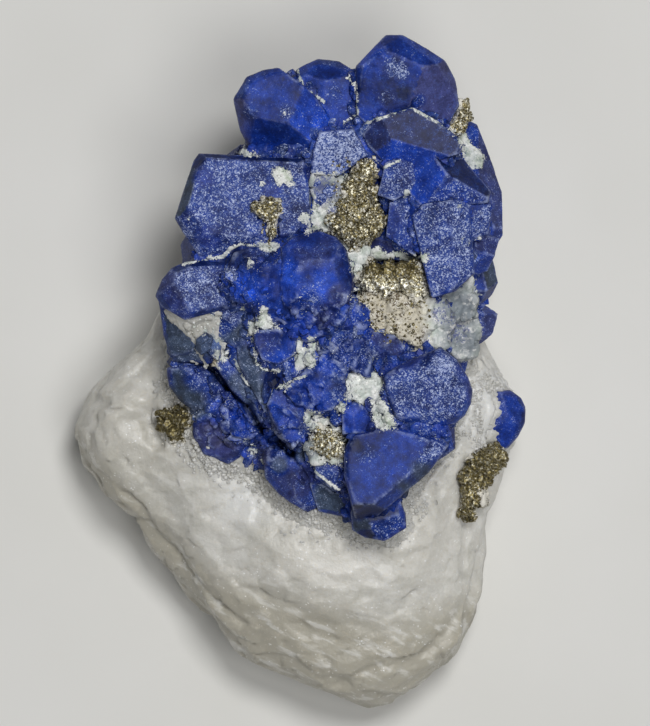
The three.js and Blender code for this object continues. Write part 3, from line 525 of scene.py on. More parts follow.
# Which faces have which look: each face is told by a point on it, seen from above, in mm
faceLooks = {
    "smooth": [(11.5, 39), (-4, 37), (5, 37), (2.2, 38), (-8.3, 37.5), (14, 29.5), (3, 17),
               (10.5, -12.5), (-1.5, 12), (0.5, 8.5), (-3.3, 9), (13.5, 34.4), (-3.4, -11.6)],
    "royal": [(3, 12), (0.8, 35), (16.5, 26), (-4.8, 4.6), (-3.8, 2.6), (7.3, -6.5), (5.6, -7),
              (-8, 11), (-2.2, -6.5), (7, 7), (10.8, 29.5), (-7.5, -6.5), (-1.9, 4), (-0.5, -4.5),
              (2, -2)],
    "deep": [(13.5, 42.6), (12, 44.3), (-3, 31.5), (3, 40), (7.6, 38), (14, -15), (6.8, 12), (11, 21),
             (10.5, 26.5), (-5, 14.8), (-4, 13), (13.5, -7), (-0.8, 8), (3, 5)],
    "frosted": [(-8, 22.5), (18, 17), (14, -2), (13.8, 27), (14.3, 24.5), (12, 25.5), (8, 2.8),
                (-15.4, 19), (16.5, -6.4), (-10, 17.5), (19.8, 15), (12.7, 21.5)],
    "dusty": [(-13.5, 11), (22, 20), (24, 19), (17, -10), (18.7, -1.5), (-9.5, 8.5)],
    "sugared": [(4.5, 31), (4, 28)],
    "hazy": [(13.9, 18.7), (9.5, 1), (4.7, -1.5), (3.2, 1.5), (19.7, 24.2), (-8.6, 13.6), (-6.6, -9.8),
             (-0.3, -14.5), (-12.5, -1.5), (11.5, -20.8)],
    # The violet of the top crystal's right faces, at (17.8, 38.5) and (19.3, 40.5), is a painted reflection
    # of grey light on a smooth face
    "violet": [(17.8, 38.5), (19.3, 40.5), (-12.5, -8.5), (-7.9, 34)],
    "plum": [(15, 32.5), (9.5, 32)],
    "dusk": [(11.8, 17.3), (9.4, 16.8), (24, 16.3), (-17.6, 9), (-18, 12.5), (12.2, 2.8), (11, 4.5),
             (-3.2, -14), (-8, -10.5), (19.8, -8), (25.2, 27), (25.5, 21), (25, 7)],
    "slate": [(-8.6, 2.5), (-6.5, -1.5), (-8.5, 5.5), (-10, 6), (-16, -2.5), (-12.3, -5), (-5.2, -0.5),
              (-15, 1.2), (-7.3, -3)],
    # Painted shade: the steep walls are painted a darker slate, and bevels that turn from the light a dark
    # navy
    "shadedWall": [(-16.5, 4), (-13.5, 3), (3, -16.5), (8.2, -20.5), (-15.2, 25), (24.5, 12.5), (-17.5, 6)],
    "navyShade": [(22, 27), (9, -18.5), (11, -19.3), (-6, 28.3), (-14, 27.8), (-13, 14), (-3.2, -0.8),
             (9.5, -22)],
}

# Calcite dust and crumbs on the crystals: x, y, radius in mm, and how thick
crumbs = [
    (-2.8, 26, 1.3, 1.0), (-1.6, 25.2, 0.9, 0.7), (-5.2, 24.8, 0.5, 0.7), (-6.9, 14.2, 1.1, 0.6),
    (-5.6, 13.4, 0.8, 0.45), (-4, 13.1, 0.5, 0.5), (0.4, 20.3, 1.0, 0.8), (13.8, 23.6, 0.7, 0.8),
    (21.6, 17.2, 1.0, 0.55), (20.8, 22, 0.6, 0.6), (23.6, 17.6, 0.6, 0.6), (-7.8, 8.3, 0.5, 0.8),
    (0.2, 7.8, 0.7, 0.5), (-0.5, 9.6, 0.6, 0.4), (-2.3, -2.2, 0.9, 0.7), (-6.6, -10.4, 0.9, 0.75),
    (-5.4, -12.1, 0.6, 0.75), (-7.6, -9.4, 0.6, 0.6), (-13.8, -5.6, 0.8, 0.4), (17.8, -8.9, 1.1, 0.5),
    (2.6, 38.9, 0.5, 0.4), (-2, 34.3, 0.8, 0.4), (-0.7, 33.3, 0.6, 0.4), (1.2, -7.5, 0.7, 0.6),
    (19.2, 0.2, 1.3, 0.35), (4.5, 3, 1.0, 0.4), (9.3, 1.6, 1.4, 0.45), (-9.8, 13.4, 0.7, 0.4),
    (-9.9, -3.8, 0.6, 0.5), (-0.9, 0.6, 0.7, 0.5), (22.4, 8.9, 0.8, 0.6), (-15, 20.3, 0.4, 0.4),
]

# Thin white seams between the crystals, as lines of points in mm
seams = [
    [(-0.6, 40.2), (0, 38.2)], [(1.2, 37), (3, 35.8)], [(6, 39), (7.2, 38.1), (7.4, 34.2), (5.5, 33)],
    [(8.2, 32.9), (10.1, 33.4), (14.6, 34.8), (18, 32.9), (19, 32.5)],
    [(-6.7, 5), (-6, 1), (-5, 0.2), (-3, 0)],
    [(-15.8, 14.1), (-12.5, 14.9), (-10.5, 15.2), (-9.5, 16.3), (-8, 17), (-6.5, 16.5), (-3.5, 16.6)],
    [(-9.1, 1.7), (-8.1, -0.4), (-7.2, -1.8)], [(11, 27), (13, 27.9)],
    [(-3.9, -2.5), (-1.7, -1.4), (0.7, -0.6)], [(0.7, -9.9), (1.2, -12.5), (2.4, -13.9), (5.1, -15.9)],
]
seamWidth = 0.42

# Outlines of the calcite that lies on and between the crystals, in mm
calcitePatches = [
    [(-15.1, 6.9), (-13.2, 6.9), (-11.1, 7.8), (-10.5, 7.2), (-11.4, 5.5), (-12.6, 4.9), (-13.4, 5.4),
     (-14.6, 5), (-15.2, 5.8)],
    [(-11.9, 2.6), (-10.4, 2.9), (-9.2, 2.2), (-10.4, 1.3), (-11.4, 1.1)],
    [(-5.5, 8.8), (-4.4, 8.2), (-4.3, 7.1), (-2.9, 5.7), (-5.5, 5.5), (-7, 4.2), (-7.3, 6.4), (-6, 6.8)],
    [(0.6, 4.8), (1.7, 4.5), (2.1, 3.8), (1.7, 2.7), (2, 1.2), (1.8, 0.3), (-0.2, 0.4), (-0.6, 1.5),
     (-0.6, 2.9), (1.05, 2.9)],
    [(6.3, -0.4), (7.5, -1), (9, -0.7), (10.6, -0.3), (10.9, -1.2), (10.4, -3), (11.6, -5.2), (12.9, -7.8),
     (11.5, -7.7), (10.6, -7.9), (9.4, -6.6), (9.2, -4.2), (8.9, -3.2), (8.2, -3), (7.8, -4.2), (7, -3.6),
     (5.9, -4.2), (5.8, -5.6), (4.6, -5.7), (4.4, -4.6), (6.2, -3.2), (6.8, -2)],
    [(0.6, -5.2), (1.4, -4.9), (2.5, -5.6), (3.6, -6.8), (5, -8.3), (5.6, -10.4), (5.6, -12), (4.4, -12.6),
     (2.4, -12), (1.2, -10.3), (0.8, -8.2), (0.3, -6.6)],
    [(1.8, 22.5), (3.4, 21.8), (4.6, 19.6), (3, 18.8), (0.5, 18.1), (1.2, 20)],
    [(-3.7, 26.9), (-2.9, 26.2), (-1.8, 26.8), (-1, 25.2), (-2.2, 24.9), (-3.3, 24.5), (-3.1, 25.6)],
    [(-8.8, 29.4), (-7.8, 30.4), (-7, 29.2), (-5.4, 28.4), (-7.4, 28.2)],
    [(5.9, 17.8), (8.2, 17), (8.4, 14.6), (7.4, 12.4), (8.4, 9.8), (6.2, 9.6), (7.2, 11.5), (6.4, 13.6)],
    [(-6, 16.9), (-3.2, 17.3), (-3, 15.9), (-5, 15.8)],
    [(19.5, 32.5), (21.5, 33), (22.5, 30.5), (24.4, 28.8), (24, 26.8), (22.2, 27.2), (21.2, 29.5)],
    [(8.2, 16), (10, 16.7), (11.5, 15.7), (13, 16.2), (14.5, 15.3), (16.8, 15.8), (16.6, 14.2), (14, 14.6),
     (12.5, 15.2), (10.5, 14.6), (8.4, 14.9)],
]

# Deep crevices, carved and painted with shade: points in mm, half width and depth in mm
creviceFloor = 14 * mm
crevices = [
    ([(-16.8, 1.1), (-14.5, 1.1), (-12.6, 0.6)], 0.2, 1.5),
    ([(-12.6, 0.5), (-11.3, -0.6), (-10.2, -2.2)], 0.5, 3.5),
    ([(-10.2, -2.2), (-8.7, -3.4), (-7.3, -4.6)], 0.3, 3.0),
    ([(-7.3, -4.6), (-6.2, -6.2), (-5.2, -7.8)], 0.5, 4.0),
    ([(-4, -9), (-2.8, -9.8), (-1.6, -10.9)], 0.65, 4.0),
    ([(-10.4, -8.3), (-8.6, -8.9), (-7.2, -9.1)], 0.16, 0.8),
]

# Patches that differ from the face they are on: x, y, radius in mm, and the look; the dark navy and wall
# patches are painted shade
tints = [
    (2.3, 11.4, 1.6, "bright"), (0.5, 9.6, 2, "hazy"), (6.5, 12.5, 1.5, "deep"),
    (-1.5, 11.4, 2.6, "royal"), (-5.5, 10.5, 3, "royal"), (1.5, 16.3, 2.6, "dusk"),
    (3, 24.2, 2, "sugared"), (4.6, 22, 1.4, "sugared"), (-8.7, 15.2, 1.6, "navyShade"),
    (-9.4, 12.9, 1, "sugared"), (-1.7, 7.4, 2, "deep"), (2.9, 7.2, 1.8, "dusk"),
    (-4.9, 3.4, 1.7, "violetBlue"), (-2, 3.6, 1.2, "smooth"), (5.5, 1.5, 2.2, "hazy"),
    (7.5, -18.6, 1.2, "navyShade"), (10.2, -18.8, 1.2, "navyShade"), (3.2, 0.3, 1.3, "bright"),
    (1.6, -2.8, 2.4, "royal"), (6.9, -6.2, 1.7, "ultra"), (-1.6, -8.2, 0.9, "ultra"),
    (-4, -1.1, 1.4, "navyShade"), (-7.4, 1.5, 1.7, "slate"), (-9, 5.4, 1.6, "slate"),
    (-9.8, 6.9, 1.3, "sugared"), (-6.4, -2.5, 1.6, "slate"), (-8.5, -1.4, 1.5, "slate"),
    (-14, -0.8, 1.9, "hazy"), (-16.4, -3.2, 1.6, "shadedWall"), (-14.2, -5.2, 1.8, "slate"),
    (-7.8, -6.3, 1.7, "royal"), (-12.8, -8.6, 2, "violet"), (-13.6, 3.3, 1.6, "slate"),
    (-11.6, 3.4, 1.8, "slate"), (-10.5, 6, 1.2, "hazy"), (2.8, 23.9, 1.6, "dusty"),
    (-16.5, 3.5, 2, "slate"), (-5.5, -11, 1.5, "dusk"), (-0.5, -15, 2.6, "dusk"),
    (3, -16.5, 1.7, "slate"), (8.5, -10.8, 1.4, "hazy"), (13.6, -16, 1.6, "shadedWall"),
    (15.8, -13.2, 1.5, "shadedWall"), (16.5, -8.3, 1.6, "hazy"), (12, -17, 1.6, "deep"),
    (-6.1, 32.4, 1.5, "royal"), (-13, 25.6, 1.4, "violetBlue"), (-4, 24, 1.2, "violetBlue"),
    (-12.4, 17.6, 1.6, "violetBlue"), (0, -11, 1, "slate"), (7.1, -9.8, 1, "navyShade"),
    (12.4, 40.3, 1.5, "dusty"), (13.4, 36.9, 1, "navyShade"), (13.3, 39.6, 0.9, "sugared"),
    (11.3, 36.4, 1.1, "dusty"), (15.6, 36, 0.8, "hazy"), (4.4, 37, 1, "hazy"),
    (18.7, 0.8, 1.6, "sugared"), (7.5, 38, 1.3, "deep"), (-3, -12.5, 1.3, "slate"),
    (-2, 34.4, 1, "frosted"), (-6.8, 34.4, 1.1, "hazy"), (-5, 30.8, 2, "deep"),
    (-3.2, 11.6, 2.6, "ultra"), (-7, 11.5, 2, "royal"), (-1.6, 12.6, 1.4, "bright"),
    (1, 17.8, 1.8, "deep"), (4.8, 10, 1.4, "dusk"), (0.3, 5.2, 2, "ultra"), (-4.5, 8, 1.6, "royal"),
]

# Crystals that are worn round or broken, not sharp: x, y, radius in mm
wornSpots = [
    (-0.5, 13, 3), (4, 10, 3), (5.5, 17, 2), (-13.5, -2, 3.5), (-10.5, -8, 4), (-8.5, 13, 2.5),
    (-1.5, -11, 4), (-8, 3, 3), (4, -1, 4.5),
]

# Where the crystals are broken into small ones: x, y, radius in mm
brokenSpots = [
    (4.5, 3.5, 4), (0.5, 7, 3), (-4.5, 8.5, 2.5), (-2, -9, 3), (7.5, 0.5, 2.5), (-10.5, -7, 3),
    (1.5, -3.5, 2), (-6, 12.5, 2), (5, 8, 2),
]


def carve(piece):  # pushes the crevices in, and says how deep in one every point is
    places = points(piece)
    pit = np.zeros(len(places))
    for line, half, deep in crevices:
        ragged = half * (0.8 + 0.4 * np.sin(places[:, 0] / mm * 3.1 + places[:, 1] / mm * 2.3))
        share = np.clip(1.5 - distanceToLine(places[:, :2] / mm, line) / ragged, 0, 1)
        pit = np.maximum(pit, share)
        places[:, 2] -= np.where(places[:, 2] > creviceFloor, share * deep * mm, 0)
    setPoints(piece, places)
    return pit


def tinted(piece, masks, pit):  # blends the patches' looks into the masks
    places = points(piece)[:, :2] / mm
    for x, y, radius, look in tints:
        away = np.hypot(places[:, 0] - x, places[:, 1] - y) / radius
        share = np.clip(1.7 - 1.3 * away, 0, 0.9)
        for name, value in zip(lookMasks, looks[look]):
            masks[name] = masks[name] * (1 - share) + value * share
    # Painted shade: the crevices are painted darker, greyer and without glints
    masks["light"] = masks["light"] * (1 - 0.7 * pit)
    masks["frost"] = masks["frost"] * (1 - pit) - 0.6 * pit
    masks["tone"] = masks["tone"] * (1 - pit) - 0.45 * pit
    for name in lookMasks:
        setMask(piece, name, masks[name])


def calciteDust(piece):  # where crumbs and seams lie on the upper side of a piece
    places = points(piece)[:, :2] / mm
    dust = np.zeros(len(places))
    for x, y, radius, thick in crumbs:
        away = np.hypot(places[:, 0] - x, places[:, 1] - y)
        dust = np.maximum(dust, thick * np.clip(1.5 - away / radius, 0, 1))
    for outline in calcitePatches:
        dust = np.maximum(dust, np.clip(0.6 + inside(places, outline) / 0.9, 0, 1.15))
    for line in seams:
        dust = np.maximum(dust, np.clip(1.05 - distanceToLine(places, line) / seamWidth, 0, 0.8))
    return dust * np.clip(pointNormals(piece)[:, 2] * 2, 0, 1)


def paintFaces(flats):  # chooses the look of every face of the crystals
    dice = np.random.default_rng(7)
    painted = {}
    for name, flat in flats.items():
        count = len(flat.data.polygons)
        painted[name] = {
            "frost": dice.uniform(0.25, 0.7, count),
            # each face painted lighter or darker at random, as painted light and shade of the facets
            "light": dice.uniform(0.65, 1.35, count),
            "tone": dice.uniform(-0.25, 0.3, count),
            "tree": treeOf([flat]),
        }
    for look, spots in faceLooks.items():
        for x, y in spots:
            start = Vector((x * mm, y * mm, meshing["overhead"]))
            hits = []
            for name, values in painted.items():
                face, depth = values["tree"].ray_cast(start, down)[2:]
                if face is not None:
                    hits.append((depth, name, face))
            if not hits:
                print("no face at", x, y)
                continue
            depth, name, face = min(hits)
            for mask, value in zip(lookMasks, looks[look]):
                painted[name][mask][face] = value
    return painted


def wearDown(piece):  # worn and lumpy crystals
    smoothed(piece, 1, lazurite["wear"])
    setGroup(piece, "worn", zone(piece, wornSpots))
    smoothed(piece, 8, factor=0.6, group="worn")
    displace(piece, "CLOUDS", size=2.4 * mm, height=0.7 * mm, group="worn", noise_depth=1)


def breakUp(piece, painted, owner):  # breaks some crystals into small ones, and gives every point its look
    dice = np.random.default_rng(len(owner))
    broken = zone(piece, brokenSpots)
    grain = facetted(piece, dice, spacing=1.5 * mm, tilt=0.45, reach=0.55 * mm, weight=broken)
    edges = edgesOf(piece)
    worn = zone(piece, wornSpots)
    masks = {}
    for name, variety in lazurite["variety"].items():
        values = painted[name][owner]
        values = values + worn * (spread(values, edges, 14) - values)
        masks[name] = values + broken * dice.uniform(-variety, variety, grain.max() + 1)[grain]
    return masks


def lazuriteCrust(piece, nodeName, curve):  # how much calcite sticks to every point
    others = treeOf(solids(without=(nodeName, "marble_matrix")))
    contact = nearness(piece, others, lazurite["contact"])
    fringe = nearness(piece, treeOf(solids("marble")), lazurite["fringe"])
    crust = np.maximum(np.maximum(contact * 0.55, fringe * 0.9), calciteDust(piece))
    crease = np.clip(-curve * 3, 0, 1)
    setMask(piece, "crust", np.clip(crust + crease * 0.25, 0, 1.2))
    # the ridges, where the pale edge highlight is painted
    setMask(piece, "rim", np.clip(curve * 2.5, 0, 1))
    return crust


def lazuritePiece(nodeName, flat, painted, finish):
    piece = duplicateOf(flat, nodeName.replace("lazurite", "crystal"))
    remeshSharp(piece, lazurite["clusterCell" if nodeName == "lazurite_cluster" else "cell"])
    owner = np.array([painted["tree"].find_nearest(vertex.co)[2] for vertex in piece.data.vertices])
    wearDown(piece)
    masks = breakUp(piece, painted, owner)
    curve = bend(piece)
    tinted(piece, masks, carve(piece))
    crust = lazuriteCrust(piece, nodeName, curve)
    push(piece, lazurite["swell"] + lazurite["crust"] * np.clip(crust * 3 - 1.6, 0, 1))
    setGroup(piece, "frosty", painted["frost"][owner])
    displace(piece, "CLOUDS", size=4 * mm, height=0.22 * mm, noise_depth=2)
    displace(piece, "VORONOI", size=1.1 * mm, height=0.09 * mm, group="frosty")
    displace(piece, "CLOUDS", size=0.5 * mm, height=0.07 * mm, noise_depth=1)
    finishPiece(piece, finish, nodeName)


def lazuriteCrystals(finish):
    names = [solid.name for solid in solids("lazurite")]
    flats = {name: copyOfNode(name, name + "_faces") for name in names}
    painted = paintFaces(flats)
    for name in names:
        lazuritePiece(name, flats[name], painted[name], finish)
        bpy.data.objects.remove(flats[name])


# The fine intergrown rubble that closes the gaps between the large crystals
rubble = {
    "close": 1.1 * mm,
    "closeLow": 2.2 * mm,
    "lowNodes": ("lazurite_cluster", "lazurite_lower_band", "lazurite_lower_left"),
    "lumpDepth": 2.2,
    "openDepth": 5 * mm,
    "sink": 0.55 * mm,
    "sinkCalcite": 1.6 * mm,
    "cell": 0.36 * mm,
    "bare": [(-3.5, 11.5, 4), (2, 14, 3)],
    "flow": [(-3.6, 11.4, 3.6), (-6.8, 11.8, 2.4)],
}

# Lumps that carry the rubble across wide gaps: x, y, half widths and how far below their neighbours, in mm
fillers = [
    (-4.2, 11.2, 3.6, 3.8, -2.5), (-5.5, 9.3, 3.0, 2.2, 0.6), (0.6, 7.6, 3.6, 2.4, 0.7),
    (5.2, 5.4, 2.6, 2.2, 0.5), (5.4, 1.6, 3.4, 2.6, 0.2), (-6.8, 12, 3.0, 3.0, -1.7),
    (-1.2, -3.8, 2.4, 1.8, 0.5), (7.4, -9.4, 1.6, 1.8, 1.0),
]

# Where the calcite stays open and the rubble keeps below it, in mm
calciteOpen = [
    (6, 10.5), (6.2, 17.8), (8.4, 17.2), (8.6, 14), (9, 10), (17, 10), (17.2, 14), (18.5, 13), (20.5, 13.5),
    (23, 12), (22.8, 3), (19.5, 2.8), (16, 3.8), (14.2, 2), (12, 2.2), (9.5, 5), (7.5, 6.5),
]


def closedGaps(pieces, name, reach, cell):  # one skin over all of them, filling gaps up to twice the reach
    mass = joinedPieces(pieces, name)
    remeshRound(mass, cell)
    for step in (reach / 2, reach / 2, -reach / 2, -reach / 2):
        applyModifier(mass, "DISPLACE", strength=step, mid_level=0, direction="NORMAL")
        remeshRound(mass, cell)
    return mass


def fillerLumps():
    trees = [treeOf(solids("lazurite"))]
    depth = rubble["lumpDepth"]
    lumps = []
    for x, y, wide, high, drop in fillers:
        around = [topOf(trees, x + wide * 0.9 * math.cos(turn), y + high * 0.9 * math.sin(turn))
                  for turn in np.linspace(0, math.tau, 8, endpoint=False)]
        heights = sorted(place.z for place in around if place is not None)
        level = heights[4] - drop * mm  # from a little above their middle
        bpy.ops.object.select_all(action="DESELECT")
        bpy.ops.mesh.primitive_ico_sphere_add(subdivisions=3, radius=mm, scale=(wide, high, depth),
                                              location=(x * mm, y * mm, level - depth * mm))
        bpy.ops.object.transform_apply(location=True, rotation=True, scale=True)
        lumps.append(bpy.context.object)
    return lumps


def rubbleMass(infill):  # one skin over crystals and calcite, with wider gaps closed low down
    lower = closedGaps([copyOfNode(name, "part") for name in rubble["lowNodes"]] + fillerLumps(),
                       "lower", rubble["closeLow"], rubble["cell"])
    places = points(lower)
    opened = np.clip(inside(places[:, :2] / mm, calciteOpen) + 0.5, 0, 1)
    places[:, 2] -= opened * rubble["openDepth"]
    setPoints(lower, places)
    crystals = [copyOfNode(solid.name, "part") for solid in solids("lazurite")]
    whole = closedGaps(crystals + [duplicateOf(infill, "part")], "whole", rubble["close"], rubble["cell"])
    mass = joinedPieces([whole, lower], "crystal_rubble")
    remeshRound(mass, rubble["cell"])
    return mass


def crystalRubble(finish, infill):
    mass = rubbleMass(infill)
    gap = 1 - nearness(mass, treeOf(solids("lazurite")), reach=0.8 * mm)
    under = nearness(mass, treeOf([infill]), reach=1.2 * mm)
    flow = zone(mass, rubble["flow"])
    sunk = (1 - gap) * rubble["sink"] * (1 - 0.8 * flow) + under * rubble["sinkCalcite"]
    push(mass, -sunk)
    rough = 1 - 0.7 * zone(mass, rubble["bare"])
    setGroup(mass, "gap", gap * 1.5 * rough)
    displace(mass, "CLOUDS", size=2.4 * mm, height=0.8 * mm, group="gap", middle=0.55)
    dice = np.random.default_rng(21)
    grain = facetted(mass, dice, spacing=1.35 * mm, tilt=0.5, reach=0.6 * mm,
                     weight=np.clip(gap * 1.5, 0, 1) * rough)
    white = nearness(mass, treeOf(solids("marble")), reach=1.4 * mm)
    count = len(grain)
    looked = {
        "frost": dice.uniform(0.15, 1.0, count),
        # each facet of the rubble painted lighter or darker at random, as painted light and shade
        "light": dice.uniform(0.6, 1.9, count),
        "tone": dice.uniform(-0.45, 0.4, count),
    }
    tinted(mass, {name: values[grain] for name, values in looked.items()}, carve(mass))
    setMask(mass, "crust", np.clip(np.maximum(0.16 + white * 0.4, calciteDust(mass)), 0, 1.2))
    setMask(mass, "rim", np.zeros(count))
    finishPiece(mass, finish)
    return mass


def seedCrystal():  # a little rhombic dodecahedron, the form that lazurite grows in
    bpy.ops.object.select_all(action="DESELECT")
    bpy.ops.mesh.primitive_cube_add(size=1)
    seed = bpy.context.object
    editAll(seed)
    bpy.ops.mesh.poke(offset=0.5)
    bpy.ops.mesh.dissolve_limited(angle_limit=math.radians(2))
    bpy.ops.object.mode_set(mode="OBJECT")
    applyModifier(seed, "BEVEL", width=0.05, segments=1, limit_method="NONE")
    return seed


# The small crystals: how many, their radii in mm, how close they may stand and how deep in the ground
small = {
    "count": 340,
    "sizes": (0.35, 1.0),
    "apart": 0.65,
    "sunk": 0.25,
    "sunkSlate": 0.3,
    "lowest": 14 * mm,
}

# Small slate crystals that lie on the calcite: x, y, radius in mm
slateCrystals = [
    (-12.9, 3.7, 1.7), (-11.7, 3.2, 1.6), (-14.1, 3.9, 1.3), (-10.9, 4.6, 1.5), (-12.2, 2.1, 1.2),
    (-10.5, 6, 1.1), (-2.6, 21.2, 0.7), (2.4, 22.9, 1.0), (3.6, 23.9, 0.9), (2.2, 25, 0.8),
]


def rubbleSpots(ground, dice):  # where small crystals stand, wherever the rubble shows between large ones
    large = treeOf(solids(without=("marble_matrix",)))
    places, normals = points(ground), pointNormals(ground)
    bare = zone(ground, rubble["bare"])
    spots = []
    for index in dice.permutation(len(places)):
        place, normal = Vector(places[index]), Vector(normals[index])
        if bare[index] > dice.uniform(0.1, 1.1):
            continue
        if normal.z < 0.3 or place.z < small["lowest"] or large.ray_cast(place, up)[0]:
            continue
        radius = dice.uniform(*small["sizes"]) * mm
        if all((place - other).length > (radius + size) * small["apart"] for other, size in spots):
            spots.append((place - normal * radius * small["sunk"], radius))
        if len(spots) == small["count"]:
            break
    return spots


def smallCrystals(finish, ground, beds):
    dice = np.random.default_rng(11)
    spots = rubbleSpots(ground, dice)
    for x, y, radius in slateCrystals:
        spots.append((topOf(beds, x, y) - up * (radius * small["sunkSlate"] * mm), radius * mm))
    crystals = scatter(seedCrystal(), "small_crystals", spots, dice)
    count, blank = len(spots), np.zeros(len(crystals.data.vertices))
    masks = {
        "frost": perGrain(crystals, count, dice, 0.2, 1.0),
        "light": perGrain(crystals, count, dice, 0.7, 1.5),
        "tone": perGrain(crystals, count, dice, -0.4, 0.4),
    }
    tinted(crystals, masks, blank)
    setMask(crystals, "crust", calciteDust(crystals) * 0.9 + 0.1)
    setMask(crystals, "rim", blank)
    # Painted light and shade: each facet of the small crystals lighter or darker at random, as facets that
    # catch more or less light
    setMask(crystals, "facet", dice.uniform(-0.45, 0.7, len(crystals.data.polygons)), "FACE")
    finishPiece(crystals, finish, flat=True)


lazuriteMaterial = lazuriteFinish()
lazuriteCrystals(lazuriteMaterial)


pyrite = {
    "cell": 0.15 * mm,
    "smoothing": {"pyrite_on_face": 60},
    "facet": {"pyrite_left": 0.85 * mm, "pyrite_right": 0.7 * mm},
    "light": {"pyrite_left": 0.68, "pyrite_centre": 1.2, "pyrite_lower": 1.1, "pyrite_right": 0.78},
    "paleSpots": [(25, -17, 1.3), (23.9, -19, 0.8)],
    "brass": colour(156, 143, 96),
    "pale": colour(246, 242, 222),
    "pit": colour(70, 62, 40),
    "calcite": colour(232, 228, 216),
}


def pyriteFinish():
    finish = Finish("pyrite")
    wisps = finish.noise(1.1 * mm, detail=3, roughness=0.6)
    grain = finish.noise(0.32 * mm, detail=3, roughness=0.65)
    spark = finish.chance(0.22 * mm, warp=0.1 * mm)
    crust, light = finish.mask("crust"), finish.mask("light")
    # Painted glints: pale where the random grains and the light are high
    metal = finish.mix((spark + light - 1).ramp(0.35, 0.85), pyrite["brass"], pyrite["pale"])
    metal = finish.scaled(metal, light)
    metal = finish.mix((1 - grain).ramp(0.48, 0.62), metal, pyrite["pit"])
    white = (crust * 0.5 + wisps + (grain - 0.5) * 0.8).ramp(0.74, 0.84)
    face = finish.mix(white, metal, pyrite["calcite"])
    return finish.surface(
        Base_Color=face,
        Metallic=(0.75 - 0.75 * white).clamped(),
        Roughness=(0.3 + 0.3 * grain + 0.3 * white).clamped(),
        Normal=finish.bump(grain + spark, depth=0.08 * mm, strength=0.8),
        IOR=1.5)


def spillOver(piece):  # lets the grains spill over the edge of their pit
    places = points(piece)
    middle = places.mean(axis=0)
    high = np.clip((places[:, 1] - middle[1]) / mm * 0.8 + 0.3, 0, 1)
    wide = 0.6 + 0.85 * high
    lift = places[:, 2] > middle[2]
    places[:, 0] = middle[0] + (places[:, 0] - middle[0]) * wide + 0.25 * mm * (1 - high)
    places[:, 1] = middle[1] + (places[:, 1] - middle[1]) * 1.12
    places[:, 2] += lift * high * 0.25 * mm
    setPoints(piece, places)


def pyritePiece(nodeName, finish):
    piece = copyOfNode(nodeName, nodeName.replace("pyrite", "pyrite_grains"))
    remeshRound(piece, pyrite["cell"])
    smoothed(piece, times=pyrite["smoothing"].get(nodeName, 6))
    contact = nearness(piece, treeOf(solids(without=(nodeName,))), reach=1.2 * mm)
    setMask(piece, "crust", np.maximum(contact, zone(piece, pyrite["paleSpots"]) * 0.9))
    displace(piece, "CLOUDS", size=1.6 * mm, height=1.0 * mm, noise_depth=2, middle=0.45)
    facet = pyrite["facet"].get(nodeName, 0.5 * mm)
    facetted(piece, np.random.default_rng(len(nodeName)), spacing=facet, tilt=0.6, reach=0.35 * mm)
    displace(piece, "CLOUDS", size=0.25 * mm, height=0.1 * mm)
    light = np.full(len(piece.data.vertices), pyrite["light"].get(nodeName, 1.0))
    # Painted shade: the upper edge lies darkest, under the white calcite strip
    if nodeName == "pyrite_centre":  # darkest along its upper edge
        light *= np.interp(points(piece)[:, 1] / mm, (11.5, 13.6), (1.1, 0.6))
    setMask(piece, "light", light)
    if nodeName == "pyrite_on_face":
        spillOver(piece)
    finishPiece(piece, finish, nodeName)


pyriteMaterial = pyriteFinish()
for solid in solids("pyrite"):
    pyritePiece(solid.name, pyriteMaterial)


marble = {
    "cell": 0.42 * mm,
    # The grey and dull spots are painted shade, the pale spots painted light: x, y, radius in mm
    "greyShadeSpots": [(-23, -9, 7)],
    "paleSpots": [(26, -4, 5), (-8, -18, 3)],
    "dullShadeSpots": [(2, -26, 7), (14, -22, 5)],
    "white": colour(228, 226, 220),
    "grey": colour(196, 194, 185),
    "warm": colour(210, 201, 183),
    # the grey-beige painted on the lower marble as painted shade
    "lower": colour(176, 171, 156),
    "chalk": colour(240, 241, 240),
    "glint": colour(248, 248, 246),
}

calcite = {
    "cell": 0.24 * mm,
    "bed": 19.7 * mm,
    "top": 60 * mm,
    "beigeSpots": [(12.5, 7.5, 5), (9, 9.5, 2.5), (16, 4.5, 2.5), (-11, 1.8, 2)],
    "clearSpots": [(20.5, 8, 3), (19, 5, 2.2), (22, 4, 1.8), (1, -10.5, 1.2), (-12.4, 3.8, 1.5),
                   (-10.4, 3, 1.3), (3.4, 24, 1.6)],
    "blueSpots": [(4.5, 21.5, 1.2), (19, 8, 2), (21, 5, 1.5), (1, 2, 1), (-12.6, 3.3, 1.2), (-14.4, 4, 1)],
    "bluestSpots": [(3, 24.2, 1.9)],
    "beige": colour(204, 197, 178),
    "green": colour(198, 206, 198),
    "clear": colour(122, 130, 138),
    "brown": colour(88, 74, 50),
    "stain": colour(86, 96, 146),
}

# Where the calcite stands up between the crystals, in mm
infillPlan = [
    (-13, 10), (-13, 2.4), (-15, 1.6), (-18.2, 1.2), (-18.2, -2.2), (-16.6, -4.5), (-15, -6),
    (-13.5, -11.6), (-7.5, -13.4), (-3.6, -16.5), (5.9, -20), (14.3, -17.6), (20.7, -7.5), (22.9, -4.4),
    (22.4, -0.6), (24.8, 0.6), (24.8, 14), (23, 22), (17, 28), (12, 32), (4, 32), (-3, 29), (-8, 24),
    (-10.4, 17),
]


